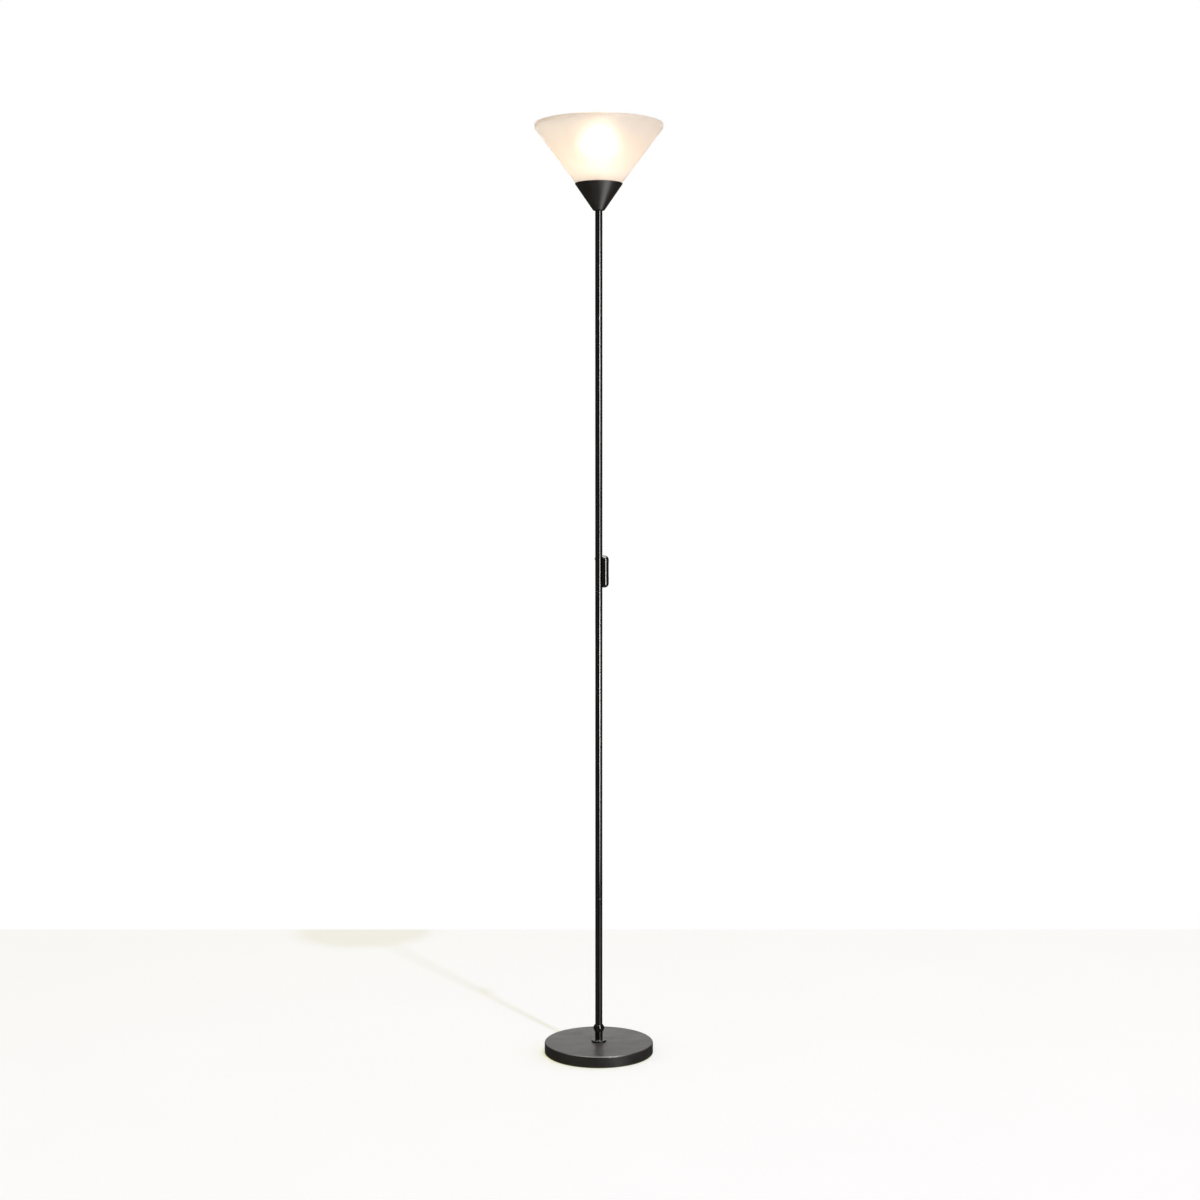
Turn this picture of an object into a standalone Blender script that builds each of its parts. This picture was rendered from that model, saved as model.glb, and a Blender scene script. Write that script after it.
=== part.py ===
"""Floor uplighter: weighted round base, screwed tube pole with a rocker switch, and a conical
shade over an E27 lampholder and an LED bulb. Metres, +Z up. The origin is on the floor under the
pole. The switch is on the +X side, the cord gland at the back (+Y)."""

import math

import bmesh
import bpy
from mathutils import Matrix, Vector

MM = 0.001
GAP = 0.3 * MM  # left between pieces that touch

# Base
BASE_RADIUS = 106.3 * MM
BASE_TOP = 22.9 * MM
BASE_WALL = 1.0 * MM
BASE_HEM = 2.2 * MM  # height of the cover's lower edge above the floor
BASE_ROUND = 2.5 * MM
PAD_TOP = 3.6 * MM
PAD_RADIUS = 104.3 * MM
PAD_HOLE = 20.0 * MM
WEIGHT_RADIUS = 104.5 * MM
WEIGHT_RECESS = 17.0 * MM
WEIGHT_RECESS_TOP = 18.3 * MM
GLAND_HEIGHT = 10.0 * MM

# Threaded nipples (M10 x 1, hollow) and what is screwed on them
NIPPLE_RADIUS = 4.9 * MM
NIPPLE_BORE = 3.5 * MM
NIPPLE_CLEAR = 5.25 * MM

# Collar on the base
FLANGE_RADIUS = 14.5 * MM
FLANGE_TOP = 25.9 * MM
NECK_RADIUS = 7.5 * MM
NECK_TOP = 45.0 * MM
RING_RADIUS = 11.1 * MM
RING_LOW = 43.4 * MM
RING_TOP = 56.1 * MM

# Pole
POLE_RADIUS = 7.0 * MM
POLE_BORE = 6.0 * MM
POLE_LOW = 45.9 * MM
POLE_JOINTS = (305.4 * MM, 907.0 * MM, 1431.9 * MM)
POLE_TOP = 1636.9 * MM
POLE_CHAMFER = 0.35 * MM
INSERT_RADIUS = POLE_BORE - GAP
COUPLER_BELOW = 15.0 * MM
COUPLER_ABOVE = 9.5 * MM
COUPLER_BORE = 4.4 * MM

# Rocker switch
SWITCH_Z = 945.3 * MM
SWITCH_HALF_HEIGHT = 30.9 * MM
SWITCH_HALF_WIDTH = 13.0 * MM
SWITCH_BACK = 6.3 * MM  # the case's back edges, either side of the pole
SWITCH_BACK_HALF_WIDTH = 9.3 * MM  # the sides widen from there at 45 degrees
SWITCH_FACE = 19.3 * MM
SWITCH_SPLIT = 10.0 * MM
SWITCH_WALL = 1.6 * MM
SWITCH_FLOOR = POLE_RADIUS + GAP + SWITCH_WALL
SWITCH_ROUND = 8.0 * MM
ROCKER_AXIS_X = 15.2 * MM
ROCKER_HALF_LENGTH = 15.0 * MM
ROCKER_HALF_WIDTH = 6.0 * MM
ROCKER_REST = math.radians(-5.0)  # top end pressed in
LEVER_AXIS_X = 11.7 * MM
LEVER_REST = math.radians(6.0)  # lower end pressed in
TRUNNION_RADIUS = 1.4 * MM
FIXING_Z = 970.0 * MM
FIXING_RADIUS = 1.5 * MM
CASE_SCREW_PLACES = ((-6.7 * MM, 17.9 * MM), (6.7 * MM, -17.9 * MM))  # Y, and Z from the middle

# Contacts in the switch
TERMINAL_NEAR = 0.5 * MM  # from the middle, across the lamp
TERMINAL_OUT = 5.0 * MM
TERMINAL_FOOT = 10.9 * MM
TERMINAL_TOP = 15.4 * MM
STRIP_WIDTH = 1.6 * MM
LEVER_BACK = 11.8 * MM
LEVER_THICK = 0.8 * MM
LEVER_HALF_LENGTH = 7.0 * MM
LEVER_HALF_WIDTH = 1.8 * MM
BUTTON_RADIUS = 1.2 * MM
BUTTON_OFFSET = 5.5 * MM

# Internal leads
LEAD_RADIUS = 1.9 * MM
LEAD_Z = 922.5 * MM  # where both leads pass from the pole into the switch
LEAD_SIDE = 2.3 * MM  # their distance from the middle there
LEAD_CHEEK_BACK = 5.0 * MM  # the case reaches round the pole this far to hide the lead slot

# Head
CUP_LOW = 1637.2 * MM
CUP_LOW_RADIUS = 10.8 * MM
CUP_RIM = 1688.0 * MM
CUP_RIM_RADIUS = 46.0 * MM
CUP_WALL = 1.2 * MM
HOLDER_RADIUS = 19.6 * MM
HOLDER_LOW = 1643.9 * MM
HOLDER_CAP_RADIUS = 18.8 * MM
HOLDER_CAP_TOP = 1668.0 * MM
HOLDER_WALL = 1.6 * MM
HOLDER_TOP = 1711.0 * MM
HOLDER_BORE = 15.5 * MM
SHOULDER_RADIUS = 22.5 * MM
CORE_RADIUS = 15.0 * MM
CORE_TOP = 1681.5 * MM
SHELL_BORE = 13.5 * MM
SHELL_WALL = 0.4 * MM
SHELL_TOP = 1706.0 * MM
HOLDER_SCREW_X = 9.0 * MM
RING_NUT_RADIUS = 26.0 * MM
RING_NUT_HEIGHT = 9.0 * MM
SHADE_FLOOR = 1671.5 * MM
SHADE_FLOOR_THICK = 2.4 * MM
SHADE_HOLE = HOLDER_RADIUS + 0.5 * MM
SHADE_SLOPE = 0.755  # radius gained per height
SHADE_LIP = 1792.9 * MM
SHADE_LIP_RADIUS = 122.4 * MM
SHADE_RIM = 1800.0 * MM
SHADE_RIM_RADIUS = 123.4 * MM
SHADE_WALL = 2.0 * MM

# Bulb (A60, E27)
BULB_TIP = 1684.0 * MM
BULB_RADIUS = 30.0 * MM
BULB_CENTRE = 1762.0 * MM
BULB_SPLIT = 1745.4 * MM  # where the opal globe meets the housing
BULB_WALL = 1.2 * MM
CAP_RADIUS = 13.1 * MM
CAP_LOW = BULB_TIP + 5.5 * MM
CAP_TOP = 1708.5 * MM

FINE, MEDIUM, COARSE, SMALL = 60, 40, 24, 16  # segments round a turned piece
SOLVERS = {"switch_base": "MANIFOLD", "switch_cover": "MANIFOLD"}  # EXACT leaves gaps in these two


def clear_scene():
    for obj in list(bpy.data.objects):
        bpy.data.objects.remove(obj, do_unlink=True)


def material(name, colour, roughness, metallic=0.0):
    made = bpy.data.materials.new(name)
    made.use_nodes = True
    shader = made.node_tree.nodes["Principled BSDF"]
    shader.inputs["Base Color"].default_value = (*colour, 1.0)
    shader.inputs["Roughness"].default_value = roughness
    shader.inputs["Metallic"].default_value = metallic
    made.diffuse_color = (*colour, 1.0)
    return made


def finished(name, mesh_maker, finish):
    """A new object from a bmesh: welded, faces outwards, smooth except at sharp edges."""
    bmesh.ops.remove_doubles(mesh_maker, verts=mesh_maker.verts, dist=1e-7)
    bmesh.ops.recalc_face_normals(mesh_maker, faces=mesh_maker.faces)
    mesh = bpy.data.meshes.new(name)
    mesh_maker.to_mesh(mesh)
    mesh_maker.free()
    mesh.shade_smooth()
    mesh.set_sharp_from_angle(angle=math.radians(35))
    obj = bpy.data.objects.new(name, mesh)
    bpy.context.scene.collection.objects.link(obj)
    if finish:
        mesh.materials.append(finish)
    return obj


def rounded(outline, corners, steps=2):
    """The closed outline with an arc at each listed corner: {index: radius}."""
    result = []
    for index, point in enumerate(outline):
        here = Vector(point)
        if index not in corners:
            result.append(here)
            continue
        before = (Vector(outline[index - 1]) - here).normalized()
        after = (Vector(outline[(index + 1) % len(outline)]) - here).normalized()
        half = before.angle(after) / 2
        reach = corners[index] / math.tan(half)
        centre = here + (before + after).normalized() * corners[index] / math.sin(half)
        start = (here + before * reach - centre).normalized()
        end = (here + after * reach - centre).normalized()
        for step in range(steps + 1):
            result.append(centre + corners[index] * start.slerp(end, step / steps))
    return result


def turned(name, outline, finish, segments=SMALL, along="Z", at=(0, 0, 0)):
    """A body of revolution from its closed cross-section, listed as (radius, height along the axis)."""
    shape = bmesh.new()
    points = [shape.verts.new((radius, 0, height)) for radius, height in outline]
    for first, second in zip(points, points[1:] + points[:1]):
        if first.co.x > 0 or second.co.x > 0:
            shape.edges.new((first, second))
    bmesh.ops.spin(
        shape,
        geom=shape.verts[:] + shape.edges[:],
        axis=(0, 0, 1),
        cent=(0, 0, 0),
        angle=math.tau,
        steps=segments,
        use_merge=True,
    )
    if along == "X":
        bmesh.ops.rotate(shape, verts=shape.verts, matrix=Matrix.Rotation(math.pi / 2, 3, "Y"))
    elif along == "Y":
        bmesh.ops.rotate(shape, verts=shape.verts, matrix=Matrix.Rotation(-math.pi / 2, 3, "X"))
    bmesh.ops.translate(shape, verts=shape.verts, vec=at)
    return finished(name, shape, finish)


def ring(name, inner, outer, low, high, finish, segments=SMALL, **placing):
    outline = [(inner, low), (outer, low), (outer, high), (inner, high)]
    return turned(name, outline, finish, segments, **placing)


def rod(name, radius, low, high, finish, segments=SMALL, **placing):
    outline = [(0, low), (radius, low), (radius, high), (0, high)]
    return turned(name, outline, finish, segments, **placing)


def box(name, low, high, finish):
    shape = bmesh.new()
    size = Vector(high) - Vector(low)
    bmesh.ops.create_cube(shape, size=1.0)
    bmesh.ops.scale(shape, verts=shape.verts, vec=size)
    bmesh.ops.translate(shape, verts=shape.verts, vec=(Vector(high) + Vector(low)) / 2)
    return finished(name, shape, finish)


def extruded(name, outline, low_y, high_y, finish):
    """An (x, z) outline carried along Y."""
    shape = bmesh.new()
    face = shape.faces.new([shape.verts.new((x, low_y, z)) for x, z in outline])
    grown = bmesh.ops.extrude_face_region(shape, geom=[face])
    moved = [item for item in grown["geom"] if isinstance(item, bmesh.types.BMVert)]
    bmesh.ops.translate(shape, verts=moved, vec=(0, high_y - low_y, 0))
    return finished(name, shape, finish)


def combine(obj, other, operation):
    """A live Boolean. The other object becomes a hidden helper."""
    modifier = obj.modifiers.new(other.name, "BOOLEAN")
    modifier.operation = operation
    modifier.solver = SOLVERS.get(obj.name, "EXACT")
    modifier.object = other
    other.hide_render = True
    other.display_type = "WIRE"
    return obj


def cut(obj, other):
    return combine(obj, other, "DIFFERENCE")


def fuse(obj, other):
    return combine(obj, other, "UNION")


def pivot(obj, place, angle=0.0):
    """Moves the object's origin to its joint's axis, then tilts it about Y."""
    obj.data.transform(Matrix.Translation(-Vector(place)))
    obj.location = place
    obj.rotation_euler.y = angle
    return obj


def smooth_route(points, spacing):
    """Points along a Catmull-Rom curve through the route, at most six to a stretch."""
    route = [Vector(point) for point in points]
    ends = [2 * route[0] - route[1]] + route + [2 * route[-1] - route[-2]]
    result = []
    for before, start, stop, after in zip(ends, ends[1:], ends[2:], ends[3:]):
        length = (stop - start).length
        leave = (stop - before).normalized() * length
        arrive = (after - start).normalized() * length
        steps = max(1, min(6, round(length / spacing)))
        for step in range(steps):
            t = step / steps
            result.append(
                start * (2 * t**3 - 3 * t**2 + 1)
                + leave * (t**3 - 2 * t**2 + t)
                + stop * (3 * t**2 - 2 * t**3)
                + arrive * (t**3 - t**2)
            )
    return result + [route[-1]]


def wire(name, points, radius, finish, resolution=2):
    curve = bpy.data.curves.new(name, "CURVE")
    curve.dimensions = "3D"
    curve.bevel_depth = radius
    curve.bevel_resolution = resolution
    curve.use_fill_caps = True
    spline = curve.splines.new("POLY")
    spline.points.add(len(points) - 1)
    for target, point in zip(spline.points, points):
        target.co = (*point, 1.0)
    curve.materials.append(finish)
    obj = bpy.data.objects.new(name, curve)
    bpy.context.scene.collection.objects.link(obj)
    return obj


def hex_nut(name, across_flats, low, high, bore, finish):
    """A hexagon prism bored through."""
    corner = across_flats / 2 / math.cos(math.pi / 6)
    nut = rod(name, corner, low, high, finish, segments=6)
    return cut(nut, rod(name + "_bore", bore, low - 1 * MM, high + 1 * MM, None))


def pan_screw(name, head_radius, head, shank_radius, length, finish, along, at, flip=False):
    """A screw whose head's underside is at its place, the shank running on from there."""
    outline = [(0, -head), (head_radius * 0.8, -head), (head_radius, -head * 0.5), (head_radius, 0)]
    outline += [(shank_radius, 0), (shank_radius, length), (0, length)]
    if flip:
        outline = [(radius, -height) for radius, height in outline]
    return turned(name, outline, finish, 14, along=along, at=at)


def make_base(finishes):
    pad_outline = [(PAD_HOLE, 0), (PAD_RADIUS, 0), (PAD_RADIUS, PAD_TOP), (PAD_HOLE, PAD_TOP)]
    turned("base_pad", pad_outline, finishes["pad"], FINE)
    low, high = PAD_TOP + GAP, BASE_TOP - BASE_WALL - GAP
    hole = NIPPLE_CLEAR + 0.2 * MM
    outline = [(WEIGHT_RECESS, low), (WEIGHT_RADIUS, low), (WEIGHT_RADIUS, high), (hole, high)]
    outline += [(hole, WEIGHT_RECESS_TOP), (WEIGHT_RECESS, WEIGHT_RECESS_TOP)]
    weight = turned("base_weight", rounded(outline, {2: BASE_ROUND}), finishes["concrete"], MEDIUM)
    channel_low, channel_high = (-3.5 * MM, 10 * MM, 0), (3.5 * MM, 110 * MM, 14 * MM)
    cut(weight, box("lead_channel", channel_low, channel_high, None))
    gland_place = (0, 0, GLAND_HEIGHT)
    cut(weight, rod("gland_pocket", 6.6 * MM, 101 * MM, 115 * MM, None, along="Y", at=gland_place))
    inner = BASE_RADIUS - BASE_WALL
    under = BASE_TOP - BASE_WALL
    outline = [(NIPPLE_CLEAR, BASE_TOP), (BASE_RADIUS, BASE_TOP), (BASE_RADIUS, BASE_HEM)]
    outline += [(inner, BASE_HEM), (inner, under), (NIPPLE_CLEAR, under)]
    corners = {1: BASE_ROUND, 4: BASE_ROUND - BASE_WALL}
    cover = turned("base_cover", rounded(outline, corners, 3), finishes["coat"], FINE)
    hole = rod("gland_hole", 4.6 * MM, 95 * MM, 115 * MM, None, along="Y", at=gland_place)
    cut(cover, hole)
    outside, inside = BASE_RADIUS + GAP, inner - GAP
    outline = [(2.4 * MM, inside - 1.2 * MM), (5.4 * MM, inside - 1.2 * MM), (5.4 * MM, inside)]
    outline += [(4.3 * MM, inside), (4.3 * MM, outside), (5.6 * MM, outside)]
    outline += [(5.0 * MM, outside + 1.5 * MM), (2.4 * MM, outside + 1.5 * MM)]
    turned("cord_gland", outline, finishes["rubber"], SMALL, along="Y", at=gland_place)
    ring("base_nipple", NIPPLE_BORE, NIPPLE_RADIUS, 11.5 * MM, 60 * MM, finishes["steel"])
    washer_high = WEIGHT_RECESS_TOP - GAP
    ring("base_washer", NIPPLE_CLEAR, 12 * MM, washer_high - 1.2 * MM, washer_high, finishes["steel"])
    nut_high = washer_high - 1.2 * MM - GAP
    hex_nut("base_nut", 14 * MM, nut_high - 4 * MM, nut_high, NIPPLE_CLEAR, finishes["steel"])


def make_collar(finishes):
    low = BASE_TOP + GAP
    outline = [(NIPPLE_CLEAR, low), (FLANGE_RADIUS, low), (FLANGE_RADIUS, FLANGE_TOP)]
    outline += [(NECK_RADIUS, FLANGE_TOP), (NECK_RADIUS, NECK_TOP), (NIPPLE_CLEAR, NECK_TOP)]
    corners = {2: 1.0 * MM, 3: 0.8 * MM}
    turned("collar_sleeve", rounded(outline, corners), finishes["gloss_coat"], COARSE)
    neck_bore, pole_bore = NECK_RADIUS + GAP, POLE_RADIUS + GAP
    widest = (RING_LOW + RING_TOP) / 2
    outline = [(neck_bore, RING_LOW), (NECK_RADIUS + 1.2 * MM, RING_LOW)]
    outline += [(RING_RADIUS, widest - 1.2 * MM), (RING_RADIUS, widest + 1.2 * MM)]
    outline += [(POLE_RADIUS + 1.0 * MM, RING_TOP), (pole_bore, RING_TOP)]
    outline += [(pole_bore, NECK_TOP + GAP), (neck_bore, NECK_TOP + GAP)]
    turned("collar_ring", outline, finishes["gloss_coat"], COARSE)
    low = POLE_LOW + 0.6 * MM
    ring("pole_foot_insert", NIPPLE_CLEAR, INSERT_RADIUS, low, low + 18 * MM, finishes["steel"])


def tube(name, low, high, finish):
    bevel = POLE_CHAMFER
    outline = [(POLE_BORE, low), (POLE_RADIUS - bevel, low), (POLE_RADIUS, low + bevel)]
    outline += [(POLE_RADIUS, high - bevel), (POLE_RADIUS - bevel, high), (POLE_BORE, high)]
    return turned(name, outline, finish, COARSE)


def make_pole(finishes):
    ends = (POLE_LOW - GAP / 2, *POLE_JOINTS, POLE_TOP + GAP / 2)
    sections = [
        tube(f"pole_section_{number}", low + GAP / 2, high - GAP / 2, finishes["coat"])
        for number, (low, high) in enumerate(zip(ends, ends[1:]), start=1)
    ]
    for number, joint in enumerate(POLE_JOINTS, start=1):
        low, high = joint - COUPLER_BELOW, joint + COUPLER_ABOVE
        ring(f"pole_coupler_{number}", COUPLER_BORE, INSERT_RADIUS, low, high, finishes["steel"])
    low = POLE_TOP - 18 * MM
    ring("pole_top_insert", NIPPLE_CLEAR, INSERT_RADIUS, low, POLE_TOP - 0.4 * MM, finishes["steel"])
    switch_section = sections[2]
    slot_low = (0, -4.7 * MM, LEAD_Z - 3.7 * MM)
    slot_high = (10 * MM, 4.7 * MM, LEAD_Z + 3.3 * MM)
    cut(switch_section, box("lead_slot", slot_low, slot_high, None))
    through = rod("fixing_hole", FIXING_RADIUS + GAP, -10 * MM, 10 * MM, None, 12, along="X",
                  at=(0, 0, FIXING_Z))
    cut(switch_section, through)


def loaf(name, back, face, inset, finish):
    """The switch's rounded block, shrunk by the inset. Its back edges stay square."""
    half_width, half_height = SWITCH_HALF_WIDTH - inset, SWITCH_HALF_HEIGHT - inset
    block = box(name, (back, -half_width, SWITCH_Z - half_height),
                (face, half_width, SWITCH_Z + half_height), finish)
    shape = bmesh.new()
    shape.from_mesh(block.data)
    edges = [edge for edge in shape.edges if any(vert.co.x > back + MM for vert in edge.verts)]
    bmesh.ops.bevel(shape, geom=edges, offset=SWITCH_ROUND - inset, segments=4, profile=0.5,
                    affect="EDGES")
    shape.to_mesh(block.data)
    shape.free()
    block.data.shade_smooth()
    return block


def taper(obj, inset):
    """Cuts both back corners off a switch block, along planes that are the inset further in."""
    far = 60 * MM
    half_width = SWITCH_BACK_HALF_WIDTH - inset * math.sqrt(2)
    for side in (-1, 1):
        near, out = sorted((0, side * far))
        wedge = box(f"{obj.name}_taper_{side}", (-far, near, -far), (far, out, far), None)
        wedge.location = (SWITCH_BACK, side * half_width, SWITCH_Z)
        wedge.rotation_euler.z = side * math.pi / 4
        cut(obj, wedge)
    return obj


def make_switch_case(finishes):
    far = 60 * MM
    split_low = (SWITCH_SPLIT, -far, SWITCH_Z - far)
    split_high = (far, far, SWITCH_Z + far)
    base = loaf("switch_base", SWITCH_BACK, SWITCH_FACE, 0, finishes["black_plastic"])
    cut(base, box("base_split", split_low, split_high, None))
    fuse(base, box("lead_cheeks", (LEAD_CHEEK_BACK, -SWITCH_BACK_HALF_WIDTH, LEAD_Z - 4.1 * MM),
                   (SWITCH_FLOOR, SWITCH_BACK_HALF_WIDTH, LEAD_Z + 3.7 * MM), None))
    taper(base, 0)
    cut(base, taper(loaf("base_hollow", SWITCH_FLOOR, far, SWITCH_WALL, None), SWITCH_WALL))
    cut(base, rod("saddle", POLE_RADIUS + GAP, SWITCH_Z - far, SWITCH_Z + far, None, 32))
    for side in (-1, 1):
        near, out = sorted((side * 6.7 * MM, side * 8.3 * MM))
        fuse(base, box(f"bearing_post_{side}", (SWITCH_FLOOR - 0.5 * MM, near, SWITCH_Z - 2.6 * MM),
                       (16.2 * MM, out, SWITCH_Z + 2.6 * MM), None))
    axis_place = (ROCKER_AXIS_X, 0, SWITCH_Z)
    groove = rod("bearing_groove", TRUNNION_RADIUS + 0.1 * MM, -10 * MM, 10 * MM, None, 16, along="Y",
                 at=axis_place)
    cut(base, groove)
    cut(base, box("bearing_mouth", (ROCKER_AXIS_X, -10 * MM, SWITCH_Z - 1.3 * MM),
                  (20 * MM, 10 * MM, SWITCH_Z + 1.3 * MM), None))
    fixing_place = (0, 0, FIXING_Z)
    fuse(base, rod("fixing_boss", 3.4 * MM, SWITCH_FLOOR - 0.5 * MM, 13 * MM, None, along="X",
                   at=fixing_place))
    cut(base, rod("fixing_bore", FIXING_RADIUS + GAP, 0, 20 * MM, None, 12, along="X",
                  at=fixing_place))
    cut(base, box("lead_window", (0, -4.7 * MM, LEAD_Z - 2.5 * MM),
                  (SWITCH_FLOOR + MM, 4.7 * MM, LEAD_Z + 2.5 * MM), None))
    cover = loaf("switch_cover", SWITCH_BACK, SWITCH_FACE, 0, finishes["black_plastic"])
    front_low = (0, -far, SWITCH_Z - far)
    front_high = (SWITCH_SPLIT + 0.2 * MM, far, SWITCH_Z + far)
    cut(cover, box("cover_split", front_low, front_high, None))
    cut(cover, loaf("cover_hollow", 5 * MM, SWITCH_FACE - SWITCH_WALL, SWITCH_WALL, None))
    half_opening = ROCKER_HALF_LENGTH + 0.45 * MM
    half_width = ROCKER_HALF_WIDTH + 0.35 * MM
    cut(cover, box("rocker_opening", (15 * MM, -half_width, SWITCH_Z - half_opening),
                   (25 * MM, half_width, SWITCH_Z + half_opening), None))
    for number, (y, height) in enumerate(CASE_SCREW_PLACES, start=1):
        place = (0, y, SWITCH_Z + height)
        boss = rod(f"case_boss_{number}", 2.3 * MM, SWITCH_SPLIT + 0.4 * MM, SWITCH_FACE, None, 12,
                   along="X", at=place)
        mid_wall = SWITCH_WALL / 2
        outer = loaf(f"boss_limit_{number}", SWITCH_BACK, SWITCH_FACE - mid_wall, mid_wall, None)
        combine(boss, outer, "INTERSECT")
        fuse(cover, boss)
        cut(cover, rod(f"case_pilot_{number}", 1.25 * MM, 0, 15.5 * MM, None, 10, along="X",
                       at=place))
        cut(base, rod(f"case_sink_{number}", 2.1 * MM, 0, 8.3 * MM, None, 14, along="X", at=place))
        cut(base, rod(f"case_hole_{number}", 1.3 * MM, 0, 20 * MM, None, 10, along="X", at=place))
        pan_screw(f"switch_case_screw_{number}", 1.8 * MM, 1.0 * MM, 1.0 * MM, 6.4 * MM,
                  finishes["steel"], "X", (8.0 * MM, y, SWITCH_Z + height))
    pan_screw("switch_fixing_screw", 2.6 * MM, 0.6 * MM, FIXING_RADIUS, 19.5 * MM,
              finishes["black_steel"], "X", (-POLE_RADIUS - GAP, 0, FIXING_Z))


def make_rocker(finishes):
    """The rocker with its trunnions, and the sprung plunger inside it."""
    end, middle, under = 18.4 * MM, 17.9 * MM, 16.2 * MM
    low, high = SWITCH_Z - ROCKER_HALF_LENGTH, SWITCH_Z + ROCKER_HALF_LENGTH
    outline = [(under, low), (end, low), (middle, SWITCH_Z), (end, high), (under, high)]
    outline = rounded(outline, {1: 0.7 * MM, 3: 0.7 * MM})
    rocker = extruded("switch_rocker", outline, -ROCKER_HALF_WIDTH, ROCKER_HALF_WIDTH,
                      finishes["black_plastic"])
    place = (ROCKER_AXIS_X, 0, SWITCH_Z)
    fuse(rocker, rod("trunnions", TRUNNION_RADIUS, -8.4 * MM, 8.4 * MM, None, 16, along="Y", at=place))
    middle_place = (0, 0, SWITCH_Z)
    hub = rod("plunger_hub", 2.6 * MM, 14 * MM, 17 * MM, None, 16, along="X", at=middle_place)
    bore = rod("plunger_bore", 1.75 * MM, 12 * MM, 17.2 * MM, None, 14, along="X", at=middle_place)
    fuse(rocker, hub)
    cut(rocker, bore)
    outline = [(0, 13.1 * MM), (0.8 * MM, 13.2 * MM), (1.4 * MM, 13.9 * MM), (1.4 * MM, 14.7 * MM)]
    outline += [(0, 14.7 * MM)]
    plunger = turned("rocker_plunger", outline, finishes["steel"], 14, along="X", at=middle_place)
    spring = make_spring(finishes["steel"])
    helpers = [modifier.object for modifier in rocker.modifiers]
    for piece in (rocker, plunger, spring, *helpers):
        pivot(piece, place, ROCKER_REST)


def make_spring(finish):
    """The coil behind the plunger, along X."""
    turns, points_per_turn = 3.5, 10
    start, length, radius = 15.1 * MM, 1.7 * MM, 1.15 * MM
    total = round(turns * points_per_turn)
    coil = []
    for index in range(total + 1):
        angle = math.tau * index / points_per_turn
        across, up = radius * math.cos(angle), radius * math.sin(angle)
        coil.append((start + length * index / total, across, SWITCH_Z + up))
    return wire("rocker_spring", coil, 0.18 * MM, finish, resolution=1)


def make_contacts(finishes):
    """Two terminals with their screws, and the lever that the plunger tips onto one of them."""
    brass = finishes["brass"]
    low, high = LEAD_Z - 2.5 * MM, LEAD_Z + 3.0 * MM
    strip = TERMINAL_OUT - STRIP_WIDTH
    saddle_x = (LEVER_BACK - 1.4 * MM, LEVER_BACK - 0.4 * MM)
    pad_x = (SWITCH_FLOOR + GAP, SWITCH_SPLIT)
    pad_low, pad_high = SWITCH_Z - 7.3 * MM, SWITCH_Z - 4.1 * MM
    root = high - 0.8 * MM
    saddle_low, saddle_high = SWITCH_Z - 1.0 * MM, SWITCH_Z + 1.0 * MM
    # each strip: its X, Y and Z ranges
    strips = {
        "terminal_in": [
            (saddle_x, (-TERMINAL_OUT, -strip), (root, saddle_high)),
            (saddle_x, (-TERMINAL_OUT, 1.5 * MM), (saddle_low, saddle_high)),
        ],
        "terminal_out": [
            ((pad_x[0], TERMINAL_FOOT + MM), (TERMINAL_NEAR, TERMINAL_OUT), (root, high)),
            (pad_x, (strip, TERMINAL_OUT), (root, pad_high)),
            (pad_x, (-1.5 * MM, TERMINAL_OUT), (pad_low, pad_high)),
        ],
    }
    for number, (name, side) in enumerate((("terminal_in", -1), ("terminal_out", 1)), start=1):
        edges = sorted((side * TERMINAL_NEAR, side * TERMINAL_OUT))
        block = box(name, (TERMINAL_FOOT, edges[0], low), (TERMINAL_TOP, edges[1], high), brass)
        for index, ranges in enumerate(strips[name]):
            near, far = zip(*ranges)
            fuse(block, box(f"{name}_strip_{index}", near, far, None))
        place = (0, sum(edges) / 2, (low + high) / 2)
        cut(block, rod(f"{name}_thread", 1.5 * MM, 12.6 * MM, 20 * MM, None, 12, along="X", at=place))
        pan_screw(f"terminal_screw_{number}", 1.9 * MM, 0.9 * MM, 1.2 * MM, 2.6 * MM,
                  finishes["steel"], "X", (TERMINAL_TOP + GAP, *place[1:]), flip=True)
    lever = box("contact_lever", (LEVER_BACK, -LEVER_HALF_WIDTH, SWITCH_Z - LEVER_HALF_LENGTH),
                (LEVER_BACK + LEVER_THICK, LEVER_HALF_WIDTH, SWITCH_Z + LEVER_HALF_LENGTH), brass)
    button = rod("contact_button", BUTTON_RADIUS, LEVER_BACK - LEVER_THICK, LEVER_BACK + 0.2 * MM, None,
                 14, along="X", at=(0, 0, SWITCH_Z - BUTTON_OFFSET))
    fuse(lever, button)
    for piece in (lever, button):
        pivot(piece, (LEVER_AXIS_X, 0, SWITCH_Z), LEVER_REST)


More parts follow.
